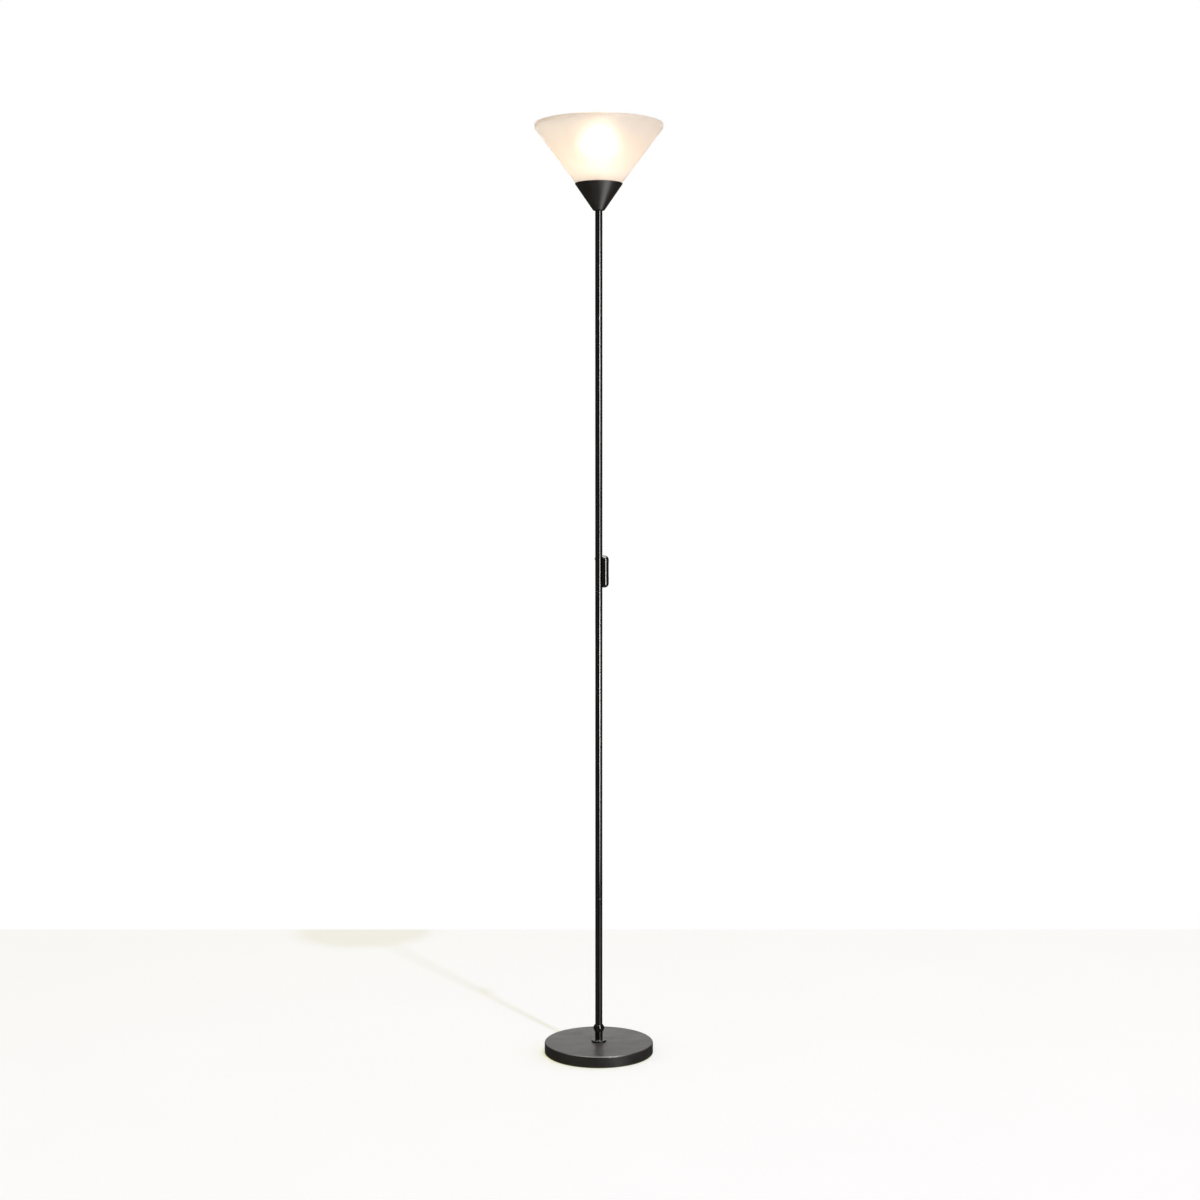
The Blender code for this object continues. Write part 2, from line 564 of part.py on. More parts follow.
def make_leads(finishes):
    """The two-core leads held inside the lamp: gland to switch, and switch to lampholder."""
    bend = 8 * MM
    in_switch = SWITCH_SPLIT + 0.6 * MM
    start_y = BASE_RADIUS - 1.0 * MM
    channel = 6.5 * MM
    lower = [(0, start_y, GLAND_HEIGHT), (0, 95 * MM, GLAND_HEIGHT - 0.8 * MM)]
    lower += [(0, 75 * MM, channel + 0.3 * MM), (0, 40 * MM, channel), (0, bend, channel)]
    lower += [(0, 0.29 * bend, channel + 0.29 * bend), (0, 0, channel + bend), (0, 0, 40 * MM)]
    lower += [(0, 0, 120 * MM), (0, 0, 500 * MM), (0, 0, 780 * MM), (0, -LEAD_SIDE, 860 * MM)]
    lower += [(0, -LEAD_SIDE, 900 * MM), (0, -LEAD_SIDE, LEAD_Z - bend)]
    lower += [(0.29 * bend, -LEAD_SIDE, LEAD_Z - 0.29 * bend), (bend, -LEAD_SIDE, LEAD_Z)]
    lower += [(in_switch, -LEAD_SIDE, LEAD_Z)]
    wire("lead_lower", smooth_route(lower, 5 * LEAD_RADIUS), LEAD_RADIUS, finishes["cable"])
    aside = 3.85 * MM
    upper = [(in_switch, LEAD_SIDE, LEAD_Z), (bend, LEAD_SIDE, LEAD_Z)]
    upper += [(0.29 * bend, LEAD_SIDE, LEAD_Z + 0.29 * bend), (0, LEAD_SIDE, LEAD_Z + bend)]
    upper += [(0, LEAD_SIDE, LEAD_Z + 2.5 * bend), (0, aside, FIXING_Z - 6 * MM)]
    upper += [(0, aside, FIXING_Z + 6 * MM), (0, LEAD_SIDE, FIXING_Z + 40 * MM)]
    upper += [(0, 0, FIXING_Z + 110 * MM), (0, 0, 1300 * MM), (0, 0, 1500 * MM), (0, 0, 1640 * MM)]
    upper += [(0, 0, 1665 * MM)]
    wire("lead_upper", smooth_route(upper, 5 * LEAD_RADIUS), LEAD_RADIUS, finishes["cable"])


def make_cup(finishes):
    slope = (CUP_RIM_RADIUS - CUP_LOW_RADIUS) / (CUP_RIM - CUP_LOW)
    across = CUP_WALL * math.hypot(1, slope)  # the wall's thickness measured level
    floor = CUP_LOW + 1.8 * MM
    inner_low = CUP_LOW_RADIUS + (floor - CUP_LOW) * slope - across
    outline = [(NIPPLE_CLEAR, CUP_LOW), (CUP_LOW_RADIUS, CUP_LOW), (CUP_RIM_RADIUS, CUP_RIM)]
    outline += [(CUP_RIM_RADIUS - across, CUP_RIM), (inner_low, floor), (NIPPLE_CLEAR, floor)]
    corners = {1: 0.8 * MM}
    turned("shade_cup", rounded(outline, corners), finishes["satin_coat"], MEDIUM)
    ring("head_nipple", NIPPLE_BORE, NIPPLE_RADIUS, 1620 * MM, 1657 * MM, finishes["steel"])
    hex_nut("head_nut", 14 * MM, floor + GAP, floor + GAP + 4 * MM, NIPPLE_CLEAR, finishes["steel"])


def make_lampholder(finishes):
    plastic = finishes["holder_plastic"]
    make_holder_cap(plastic)
    core_low = HOLDER_CAP_TOP + GAP
    core = ring("lampholder_core", 2.2 * MM, CORE_RADIUS, core_low, CORE_TOP, finishes["ceramic"],
                COARSE)
    for number, x in enumerate((-HOLDER_SCREW_X, HOLDER_SCREW_X), start=1):
        cut(core, rod(f"holder_thread_{number}", 1.7 * MM, core_low - MM, core_low + 6.7 * MM, None,
                      12, at=(x, 0, 0)))
        pan_screw(f"holder_screw_{number}", 2.3 * MM, 1.6 * MM, 1.4 * MM, 6 * MM, finishes["steel"],
                  "Z", (x, 0, core_low - GAP))
    shoulder = SHADE_FLOOR - GAP
    thread_top = 1692 * MM
    outline = [(HOLDER_BORE, core_low), (SHOULDER_RADIUS, core_low), (SHOULDER_RADIUS, shoulder)]
    outline += [(HOLDER_RADIUS, shoulder), (HOLDER_RADIUS, thread_top)]
    outline += [(HOLDER_RADIUS - 1.0 * MM, thread_top + 1.0 * MM)]
    outline += [(HOLDER_RADIUS - 1.6 * MM, HOLDER_TOP), (HOLDER_BORE, HOLDER_TOP)]
    turned("lampholder_skirt", outline, plastic, COARSE)
    low = CORE_TOP + GAP
    ring("screw_shell", SHELL_BORE, SHELL_BORE + SHELL_WALL, low, SHELL_TOP, finishes["brass"], COARSE)
    tongue, thick = BULB_TIP - 0.8 * MM, 0.5 * MM
    outline = [(-9 * MM, low), (-4 * MM, low), (0.5 * MM, tongue - thick), (4 * MM, tongue - thick)]
    outline += [(4 * MM, tongue), (0.2 * MM, tongue), (-4.3 * MM, low + thick)]
    outline += [(-9 * MM, low + thick)]
    extruded("centre_contact", outline, -2 * MM, 2 * MM, finishes["brass"])


def make_holder_cap(finish):
    """The lampholder's lower half: a cup with the nipple's threaded hole in its floor."""
    waist, hip = 1652 * MM, 1661 * MM
    floor_top = HOLDER_LOW + 2.6 * MM
    inner = HOLDER_CAP_RADIUS - HOLDER_WALL
    outline = [(NIPPLE_CLEAR, HOLDER_LOW), (9 * MM, HOLDER_LOW), (15.5 * MM, waist)]
    outline += [(HOLDER_CAP_RADIUS, hip), (HOLDER_CAP_RADIUS, HOLDER_CAP_TOP)]
    outline += [(inner, HOLDER_CAP_TOP), (inner, hip + 0.5 * MM), (13.8 * MM, waist + 0.6 * MM)]
    outline += [(8 * MM, floor_top), (NIPPLE_CLEAR, floor_top)]
    turned("lampholder_cap", outline, finish, COARSE)


def make_shade(finishes):
    """Open frosted cone. Its floor is held between the lampholder's shoulder and the ring nut."""
    across = SHADE_WALL * math.hypot(1, SHADE_SLOPE)
    low_radius = SHADE_LIP_RADIUS - (SHADE_LIP - SHADE_FLOOR) * SHADE_SLOPE
    floor_top = SHADE_FLOOR + SHADE_FLOOR_THICK
    inner_low = low_radius + SHADE_FLOOR_THICK * SHADE_SLOPE - across
    outline = [(SHADE_HOLE, SHADE_FLOOR), (low_radius, SHADE_FLOOR), (SHADE_LIP_RADIUS, SHADE_LIP)]
    outline += [(SHADE_RIM_RADIUS, SHADE_RIM), (SHADE_RIM_RADIUS - SHADE_WALL, SHADE_RIM)]
    outline += [(SHADE_LIP_RADIUS - SHADE_WALL, SHADE_LIP + 0.4 * MM), (inner_low, floor_top)]
    outline += [(SHADE_HOLE, floor_top)]
    corners = {1: 2.0 * MM, 2: 6.0 * MM, 3: 0.95 * MM, 4: 0.95 * MM}
    turned("shade", rounded(outline, corners), finishes["frosted"], FINE)
    low = floor_top + GAP
    high = low + RING_NUT_HEIGHT
    outline = [(SHADE_HOLE, low), (RING_NUT_RADIUS, low), (RING_NUT_RADIUS, high), (SHADE_HOLE, high)]
    turned("shade_ring", rounded(outline, {2: 1.2 * MM}), finishes["holder_plastic"], COARSE)


def make_bulb(finishes):
    edge = math.asin((BULB_SPLIT - BULB_CENTRE) / BULB_RADIUS)
    steps = 9
    outer, inner = [], []
    for step in range(steps + 1):
        angle = edge + (math.pi / 2 - edge) * step / steps
        for side, radius in ((outer, BULB_RADIUS), (inner, BULB_RADIUS - BULB_WALL)):
            reach = radius * math.cos(angle) if step < steps else 0.0
            side.append((reach, BULB_CENTRE + radius * math.sin(angle)))
    turned("bulb_globe", outer + inner[::-1], finishes["opal"], 32)
    make_bulb_housing(BULB_RADIUS * math.cos(edge), finishes["white_plastic"])
    board_top = BULB_SPLIT - 1.4 * MM
    rod("bulb_led_board", 22.6 * MM, board_top - 1.6 * MM, board_top, finishes["aluminium"], 32)
    board_low, board_high = CAP_TOP + 3.5 * MM, BULB_SPLIT - 7.4 * MM
    box("bulb_driver_board", (-8 * MM, -0.6 * MM, board_low), (8 * MM, 0.6 * MM, board_high),
        finishes["circuit"])
    inner, shoulder = CAP_RADIUS - 0.6 * MM, CAP_LOW + 1.2 * MM
    outline = [(11.2 * MM, CAP_LOW), (12.2 * MM, CAP_LOW), (CAP_RADIUS, shoulder)]
    outline += [(CAP_RADIUS, CAP_TOP), (inner, CAP_TOP), (inner, shoulder)]
    turned("bulb_cap", outline, finishes["aluminium"], COARSE)
    low, high = BULB_TIP + 1.8 * MM, CAP_LOW - GAP
    outline = [(0, low), (5.4 * MM, low), (11.4 * MM, high), (0, high)]
    turned("bulb_insulator", outline, finishes["vitrite"], COARSE)
    outline = [(0, BULB_TIP), (3.4 * MM, BULB_TIP), (4.6 * MM, BULB_TIP + 0.8 * MM)]
    outline += [(4.6 * MM, low - GAP), (0, low - GAP)]
    turned("bulb_tip", outline, finishes["steel"], SMALL)


def make_bulb_housing(mouth, finish):
    """The hollow flared body between the cap and the globe."""
    wall = 1.4 * MM
    outer = [(13.6, 1708.8), (14.6, 1715.0), (18.5, 1726.0), (23.2, 1738.0)]
    outer = [(radius * MM, height * MM) for radius, height in outer]
    outer.append((mouth, BULB_SPLIT - GAP))
    inner = [(radius - wall, height) for radius, height in reversed(outer)]
    turned("bulb_housing", outer + inner, finish, 32)


def make_finishes():
    return {
        "coat": material("black_coat", (0.012, 0.012, 0.013), 0.32, 0.0),
        "gloss_coat": material("gloss_black_coat", (0.010, 0.010, 0.010), 0.12, 0.0),
        "satin_coat": material("satin_black_coat", (0.018, 0.015, 0.014), 0.42, 0.0),
        "pad": material("felt_pad", (0.02, 0.02, 0.02), 0.95),
        "concrete": material("concrete", (0.42, 0.41, 0.39), 0.9),
        "rubber": material("rubber", (0.015, 0.015, 0.015), 0.7),
        "steel": material("zinc_steel", (0.62, 0.62, 0.6), 0.35, 1.0),
        "black_steel": material("black_steel", (0.03, 0.03, 0.03), 0.4, 0.6),
        "brass": material("brass", (0.72, 0.52, 0.22), 0.3, 1.0),
        "black_plastic": material("black_plastic", (0.014, 0.014, 0.014), 0.25),
        "holder_plastic": material("holder_plastic", (0.75, 0.74, 0.70), 0.4),
        "ceramic": material("ceramic", (0.82, 0.80, 0.76), 0.3),
        "cable": material("cable_sheath", (0.02, 0.02, 0.02), 0.5),
        "frosted": material("frosted_plastic", (0.90, 0.84, 0.78), 0.6),
        "opal": material("opal_globe", (0.97, 0.95, 0.90), 0.35),
        "white_plastic": material("white_plastic", (0.88, 0.87, 0.85), 0.4),
        "aluminium": material("aluminium", (0.75, 0.75, 0.75), 0.35, 1.0),
        "circuit": material("circuit_board", (0.05, 0.22, 0.10), 0.5),
        "vitrite": material("vitrite", (0.02, 0.02, 0.03), 0.1),
    }


def main():
    clear_scene()
    finishes = make_finishes()
    make_base(finishes)
    make_collar(finishes)
    make_pole(finishes)
    make_switch_case(finishes)
    make_rocker(finishes)
    make_contacts(finishes)
    make_leads(finishes)
    make_cup(finishes)
    make_lampholder(finishes)
    make_shade(finishes)
    make_bulb(finishes)


main()
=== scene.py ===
"""Looks for the floor uplighter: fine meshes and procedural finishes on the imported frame, in a
plain white studio. Metres, +Z up, the pole on the Z axis, the switch on +X, the gland on +Y."""

import math

import bmesh
import bpy
from mathutils import Matrix, Vector


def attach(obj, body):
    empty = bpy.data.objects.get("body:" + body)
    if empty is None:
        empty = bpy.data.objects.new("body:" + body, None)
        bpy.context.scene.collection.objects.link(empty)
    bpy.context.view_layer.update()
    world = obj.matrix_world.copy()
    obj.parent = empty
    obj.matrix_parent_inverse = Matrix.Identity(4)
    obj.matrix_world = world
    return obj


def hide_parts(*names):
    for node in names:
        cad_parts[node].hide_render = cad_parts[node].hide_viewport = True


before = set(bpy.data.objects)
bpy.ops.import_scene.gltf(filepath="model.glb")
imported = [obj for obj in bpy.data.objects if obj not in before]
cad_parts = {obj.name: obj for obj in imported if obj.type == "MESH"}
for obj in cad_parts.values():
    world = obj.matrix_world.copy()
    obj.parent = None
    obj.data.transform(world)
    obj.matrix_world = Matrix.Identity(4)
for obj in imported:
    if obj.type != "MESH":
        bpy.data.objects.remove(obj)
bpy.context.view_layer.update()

MM = 0.001
GAP = 0.3 * MM  # between touching pieces
WELD = 0.001 * MM  # points closer together than this are one
ON_AXIS = 0.0001 * MM  # a turned point closer to the axis than this lies on it
SLIVER = 0.02 * MM  # the shortest edge worth a point of its own
FAR = 60 * MM  # reaches past the switch on every side

# Shapes that the CAD model fixes, repeated here because its source can't be read
BASE_RADIUS = 106.3 * MM
BASE_TOP = 22.9 * MM
BASE_CROWN = 0.25 * MM  # how far the pressed top falls away towards its edge
BASE_ROUND = 2.5 * MM
BASE_HEM = 2.2 * MM
GLAND_HEIGHT = 10.0 * MM
NIPPLE_CLEAR = 5.25 * MM
POLE_RADIUS = 7.0 * MM
POLE_BORE = 6.0 * MM
POLE_ENDS = (45.75 * MM, 305.4 * MM, 907.0 * MM, 1431.9 * MM, 1637.05 * MM)
SWITCH_Z = 945.3 * MM
SWITCH_HALF_HEIGHT = 30.9 * MM
SWITCH_HALF_WIDTH = 13.0 * MM
SWITCH_BACK = 6.3 * MM
SWITCH_BACK_HALF_WIDTH = 9.3 * MM
SWITCH_FLOOR = 8.9 * MM
SWITCH_FACE = 19.3 * MM
SWITCH_SPLIT = 10.0 * MM
SWITCH_WALL = 1.6 * MM
SWITCH_ROUND = 8.0 * MM
ROCKER_AXIS = Vector((15.2 * MM, 0, SWITCH_Z))
ROCKER_TILT = math.radians(-5.0)
LEAD_Z = 922.5 * MM
LEAD_SLOT = 4.7 * MM  # half its width
LEAD_CHEEK_BACK = 5.0 * MM
FIXING_Z = 970.0 * MM
FIXING_HOLE = 1.8 * MM
CASE_SCREWS = ((-6.7 * MM, 17.9 * MM), (6.7 * MM, -17.9 * MM))
BULB_CENTRE = 1762.0 * MM
BULB_RADIUS = 30.0 * MM
BULB_SPLIT = 1745.4 * MM  # where the globe meets the housing
CAP_PITCH = 3.62 * MM
CAP_THREAD = 0.425 * MM  # the depth of the same thread

ROUND, FINE, MEDIUM = 192, 128, 72  # segments round a turned piece


# ---- Node trees ----

FINISH = "_finish"  # ends each finish's name


class Graph:
    """Adds shader nodes to a tree. Capitalised keywords are inputs and the others attributes."""

    def __init__(self, owner):
        owner.use_nodes = True
        self.owner = owner
        self.tree = owner.node_tree
        self.tree.nodes.clear()

    def feed(self, socket, value):
        if isinstance(value, bpy.types.Node):
            value = value.outputs[0]
        if isinstance(value, bpy.types.NodeSocket):
            self.tree.links.new(value, socket)
        elif socket.type == "RGBA":
            socket.default_value = (*value[:3], 1.0)
        else:
            socket.default_value = value

    def add(self, kind, *values, **named):
        made = self.tree.nodes.new("ShaderNode" + kind)
        for name, value in named.items():
            if name[0].islower():
                setattr(made, name, value)
        for index, value in enumerate(values):
            self.feed(made.inputs[index], value)
        for name, value in named.items():
            if not name[0].islower():
                self.feed(made.inputs[name.replace("_", " ")], value)
        return made

    def place(self, stretch=(1, 1, 1)):
        """Position on the piece, in metres."""
        where = self.add("TexCoord").outputs["Object"]
        return where if stretch == (1, 1, 1) else self.add("Mapping", where, Scale=stretch)

    def height(self):
        """Height above the floor, in metres, with the piece at rest."""
        return self.add("SeparateXYZ", self.place()).outputs["Z"]

    def noise(self, scale, detail=2.0, stretch=(1, 1, 1), **named):
        made = self.add("TexNoise", Vector=self.place(stretch), Scale=scale, Detail=detail, **named)
        return made.outputs["Fac"]

    def cells(self, scale, output="Distance"):
        return self.add("TexVoronoi", Vector=self.place(), Scale=scale).outputs[output]

    def span(self, value, low, high, to_low=0.0, to_high=1.0, smooth=False):
        """The value, moved from low..high to to_low..to_high and held there beyond the ends."""
        kind = "SMOOTHSTEP" if smooth else "LINEAR"
        made = self.add("MapRange", value, low, high, to_low, to_high, interpolation_type=kind)
        return made.outputs[0]

    def math(self, operation, *values):
        return self.add("Math", *values, operation=operation).outputs[0]

    def mix(self, factor, first, second):
        """A blend of two colours. A Mix node's colour inputs can only be told by their numbers."""
        made = self.add("Mix", data_type="RGBA")
        for index, value in ((0, factor), (6, first), (7, second)):
            self.feed(made.inputs[index], value)
        return made.outputs[2]

    def bump(self, height, distance, under=None):
        """The normal of a relief, on top of the normal of the coarser relief under it, if any."""
        made = self.add("Bump", Strength=1.0, Distance=distance, Height=height)
        if under is not None:
            self.feed(made.inputs["Normal"], under)
        return made.outputs[0]

    def finish(self, shader):
        output = self.add("OutputMaterial")
        self.feed(output.inputs["Surface"], shader)
        return self.owner

    def coat(self, colour, rough, normal, **more):
        """Finishes the tree with one Principled surface."""
        shader = self.add("BsdfPrincipled", Base_Color=colour, Roughness=rough, Normal=normal, **more)
        return self.finish(shader)


def new_finish(name):
    return Graph(bpy.data.materials.new(name + FINISH))


# ---- Finishes ----


def paint(name, dark, light, rough, wander, peel, depth, grain=0.0, **gloss):
    """Paint: mottled colour, roughness that wanders to both sides, orange peel and fine grain."""
    graph = new_finish(name)
    colour = graph.mix(graph.span(graph.noise(38, 4), 0.36, 0.64), dark, light)
    rubbed = graph.span(graph.noise(17, 5, (1, 1, 0.35)), 0.32, 0.68, rough - wander, rough + wander)
    normal = graph.bump(graph.noise(peel, 1.5), depth)
    if grain:
        normal = graph.bump(graph.noise(3200, 2), grain, normal)
    return graph.coat(colour, rubbed, normal, **gloss)


def base_coat():
    """Powder coat over a pressed plate: patchy colour, smeared sheen, shallow waves, pebbled grain."""
    graph = new_finish("textured_black_coat")
    mottle = graph.span(graph.noise(55, 3), 0.25, 0.75)
    colour = graph.mix(mottle, (0.0135, 0.012, 0.0108), (0.0215, 0.019, 0.017))
    patch = graph.span(graph.noise(14, 2), 0.3, 0.7, 0.0, 0.3)
    colour = graph.mix(patch, colour, (0.030, 0.027, 0.025))
    smear = graph.span(graph.noise(20, 2, (1, 2.6, 1)), 0.25, 0.75, 0.29, 0.41)
    rough = graph.math("ADD", smear, graph.span(graph.noise(420, 3), 0.35, 0.65, -0.03, 0.03))
    waves = graph.bump(graph.noise(24, 1.5, (1, 1.6, 1)), 0.12 * MM)
    pebbles = graph.bump(graph.noise(900, 3), 0.012 * MM, waves)
    grain = graph.bump(graph.noise(3600, 2), 0.005 * MM, pebbles)
    return graph.coat(colour, rough, grain, Specular_IOR_Level=0.4)


def metal(name, dark, light, rough, scale, brushed=(1, 1, 1)):
    """Plated or bare metal: spangle, tarnish and fine lines, which brushed stretches."""
    graph = new_finish(name)
    spangle = graph.span(graph.cells(scale, "Color"), 0.2, 0.8)
    tarnish = graph.span(graph.noise(scale * 0.3, 4), 0.35, 0.65)
    colour = graph.mix(graph.math("MULTIPLY", graph.math("ADD", spangle, tarnish), 0.5), dark, light)
    lines = graph.noise(scale * 6, 3, brushed)
    worn = graph.span(lines, 0.3, 0.7, rough - 0.08, rough + 0.1)
    return graph.coat(colour, worn, graph.bump(lines, 0.006 * MM), Metallic=1.0)


def moulded(name, dark, light, rough, grain=0.01 * MM, **extra):
    """Moulded plastic or rubber: nearly even colour with a fine spark-eroded grain."""
    graph = new_finish(name)
    colour = graph.mix(graph.span(graph.noise(90, 3), 0.35, 0.65), dark, light)
    worn = graph.span(graph.noise(60, 4), 0.3, 0.7, rough - 0.06, rough + 0.06)
    return graph.coat(colour, worn, graph.bump(graph.noise(1500, 3), grain), **extra)


def felt():
    graph = new_finish("felt_pad")
    fibres = graph.noise(900, 5, (1, 1, 3), Distortion=1.5)
    colour = graph.mix(graph.span(fibres, 0.3, 0.7), (0.010, 0.010, 0.011), (0.055, 0.053, 0.052))
    tufts = graph.bump(graph.noise(140, 4), 0.4 * MM)
    return graph.coat(colour, 0.96, graph.bump(fibres, 0.25 * MM, tufts), Sheen_Weight=0.4,
                      Sheen_Roughness=0.6)


def cement():
    graph = new_finish("concrete")
    cloud = graph.span(graph.noise(30, 6), 0.3, 0.7)
    colour = graph.mix(cloud, (0.30, 0.29, 0.275), (0.47, 0.455, 0.43))
    sand = graph.span(graph.cells(700, "Color"), 0.1, 0.9, 0.0, 0.35)
    colour = graph.mix(sand, colour, (0.20, 0.19, 0.18))
    pores = graph.span(graph.cells(260), 0.05, 0.22)
    rough_cast = graph.bump(graph.noise(1200, 4), 0.08 * MM)
    return graph.coat(colour, 0.92, graph.bump(pores, 0.25 * MM, rough_cast))


def circuit_board():
    graph = new_finish("circuit_board")
    tracks = graph.add("TexBrick", Vector=graph.place(), Color1=(0.02, 0.17, 0.07),
                       Color2=(0.03, 0.22, 0.09), Mortar=(0.10, 0.36, 0.16), Scale=160.0)
    solder = graph.span(graph.cells(420), 0.12, 0.16)
    colour = graph.mix(solder, (0.62, 0.60, 0.55), tracks.outputs["Color"])
    return graph.coat(colour, 0.38, graph.bump(tracks.outputs["Fac"], 0.03 * MM))


def glazed(name, dark, light, rough):
    """Glazed ceramic or glass: a smooth, slightly wavy gloss with dark specks."""
    graph = new_finish(name)
    colour = graph.mix(graph.span(graph.noise(120, 3), 0.35, 0.65), dark, light)
    specks = graph.span(graph.cells(520), 0.06, 0.14)
    colour = graph.mix(specks, tuple(0.6 * part for part in dark), colour)
    rub = graph.span(graph.noise(150, 3), 0.3, 0.7, rough - 0.05, rough + 0.08)
    return graph.coat(colour, rub, graph.bump(graph.noise(350, 2), 0.02 * MM))


def frosted():
    """Frosted polypropylene, lit through. Its through colour is painted darker level with the bulb, a
    painted shade that dims the shade's glow there.
    """
    graph = new_finish("frosted_shade")
    cloud = graph.span(graph.noise(22, 4), 0.3, 0.7)
    tint = graph.mix(cloud, (0.90, 0.875, 0.85), (0.94, 0.915, 0.89))
    # Painted shade: the through colour is darker level with the bulb and lighter above and below it
    painted_dim_height = 1741 * MM
    away = graph.math("ABSOLUTE", graph.math("SUBTRACT", graph.height(), painted_dim_height))
    away_from_painted_dim = graph.span(away, 6 * MM, 48 * MM, smooth=True)
    through = graph.mix(away_from_painted_dim, (0.89, 0.835, 0.775), (0.975, 0.93, 0.88))
    normal = graph.bump(graph.noise(1600, 3), 0.02 * MM, graph.bump(graph.noise(60, 2), 0.05 * MM))
    rough = graph.span(graph.noise(300, 3), 0.3, 0.7, 0.42, 0.52)
    body = graph.add("BsdfPrincipled", Base_Color=tint, Roughness=rough, Normal=normal)
    glow = graph.add("BsdfTranslucent", Color=through, Normal=normal)
    clear = graph.add("BsdfRefraction", Color=through, Roughness=0.66, IOR=1.3, Normal=normal)
    passed = graph.add("MixShader", 0.64, glow, clear)
    return graph.finish(graph.add("MixShader", 0.68, body, passed))


def opal(strength):
    """The lit globe, dimmer where it comes out of the housing."""
    graph = new_finish("opal_globe")
    dimming = 14 * MM
    shine = graph.span(graph.height(), BULB_SPLIT, BULB_SPLIT + dimming, 0.55 * strength, strength,
                       smooth=True)
    cloud = graph.span(graph.noise(70, 3), 0.3, 0.7)
    colour = graph.mix(cloud, (0.93, 0.91, 0.87), (0.97, 0.95, 0.92))
    warm = graph.mix(cloud, (1.0, 0.81, 0.60), (1.0, 0.83, 0.63))
    return graph.coat(colour, 0.34, graph.bump(graph.noise(900, 2), 0.01 * MM), Emission_Color=warm,
                      Emission_Strength=shine)


def make_finishes():
    """The finish of each material slot, by the slot's name."""
    made = [
        paint("black_coat", (0.0055, 0.0055, 0.006), (0.0085, 0.0082, 0.0082), rough=0.085,
              wander=0.015, peel=300, depth=0.0015 * MM),
        paint("gloss_black_coat", (0.005, 0.005, 0.005), (0.008, 0.008, 0.008), rough=0.10,
              wander=0.02, peel=300, depth=0.001 * MM, IOR=1.33),
        paint("satin_black_coat", (0.0105, 0.0080, 0.0066), (0.0145, 0.0115, 0.010), rough=0.35,
              wander=0.03, peel=420, depth=0.004 * MM, grain=0.0015 * MM),
        base_coat(),
        felt(),
        cement(),
        moulded("rubber", (0.012, 0.012, 0.012), (0.02, 0.02, 0.02), 0.62, 0.03 * MM),
        metal("zinc_steel", (0.50, 0.51, 0.53), (0.74, 0.74, 0.72), 0.34, 500),
        metal("black_steel", (0.018, 0.018, 0.02), (0.035, 0.033, 0.032), 0.36, 500),
        metal("brass", (0.62, 0.42, 0.16), (0.85, 0.62, 0.28), 0.28, 420),
        metal("aluminium", (0.66, 0.66, 0.67), (0.84, 0.84, 0.84), 0.27, 300, (1, 1, 6)),
        moulded("black_plastic", (0.006, 0.006, 0.0065), (0.0095, 0.0095, 0.0095), 0.12, 0.0006 * MM),
        moulded("holder_plastic", (0.72, 0.70, 0.65), (0.78, 0.76, 0.71), 0.38),
        moulded("cable_sheath", (0.012, 0.012, 0.013), (0.018, 0.018, 0.018), 0.46),
        # The white plastic's emission is a painted glow: the housing is no lamp, and the glow stands in
        # for the globe's light showing through it
        moulded("white_plastic", (0.84, 0.83, 0.80), (0.89, 0.88, 0.86), 0.36,
                Emission_Color=(1.0, 0.86, 0.68), Emission_Strength=3.0),
        glazed("ceramic", (0.74, 0.71, 0.66), (0.84, 0.82, 0.78), 0.25),
        glazed("vitrite", (0.012, 0.012, 0.018), (0.02, 0.02, 0.028), 0.1),
        frosted(),
        opal(16.4),
        circuit_board(),
    ]
    return {material.name.removesuffix(FINISH): material for material in made}


# ---- Shapes ----


def rounded(outline, corners, steps=8, support=0.4):
    """The closed outline with an arc at each listed corner, {index: radius}. A point on each side
    of the arc keeps its shading from spreading over the flat beside it."""
    result = []
    for index, point in enumerate(outline):
        here = Vector(point)
        if index not in corners:
            result.append(here)
            continue
        radius = corners[index]
        back = Vector(outline[index - 1]) - here
        ahead = Vector(outline[(index + 1) % len(outline)]) - here
        before, after = back.normalized(), ahead.normalized()
        half = before.angle(after) / 2
        reach = radius / math.tan(half)
        centre = here + (before + after).normalized() * radius / math.sin(half)
        start = (here + before * reach - centre).normalized()
        end = (here + after * reach - centre).normalized()
        margins = [min(support * radius, 0.4 * max(side.length - reach, 0)) for side in (back, ahead)]
        if margins[0] > SLIVER:
            result.append(here + before * (reach + margins[0]))
        result += [centre + radius * start.slerp(end, step / steps) for step in range(steps + 1)]
        if margins[1] > SLIVER:
            result.append(here + after * (reach + margins[1]))
    return result


def lathe(outline, segments=FINE, along="Z", at=(0, 0, 0), warp=None):
    """A turned shape from its closed cross-section of (radius, height along the axis).
    warp(radius, height, angle) gives each point's radius where it isn't round."""
    shape = bmesh.new()
    rings = []
    for radius, height in outline:
        if radius < ON_AXIS:
            rings.append([shape.verts.new((0, 0, height))])
            continue
        ring = []
        for step in range(segments):
            angle = math.tau * step / segments
            reach = warp(radius, height, angle) if warp else radius
            ring.append(shape.verts.new((reach * math.cos(angle), reach * math.sin(angle), height)))
        rings.append(ring)
    for first, second in zip(rings, rings[1:] + rings[:1]):
        if len(first) == len(second) == 1:
            continue
        for step in range(segments):
            after = step + 1
            corners = [first[step % len(first)], first[after % len(first)],
                       second[after % len(second)], second[step % len(second)]]
            shape.faces.new(list(dict.fromkeys(corners)))
    turns = {"X": Matrix.Rotation(math.pi / 2, 4, "Y"), "Y": Matrix.Rotation(-math.pi / 2, 4, "X")}
    shape.transform(Matrix.Translation(at) @ turns.get(along, Matrix.Identity(4)))
    bmesh.ops.recalc_face_normals(shape, faces=shape.faces)
    return shape


def rod(radius, low, high, segments=32, along="Z", at=(0, 0, 0)):
    return lathe([(0, low), (radius, low), (radius, high), (0, high)], segments, along, at)


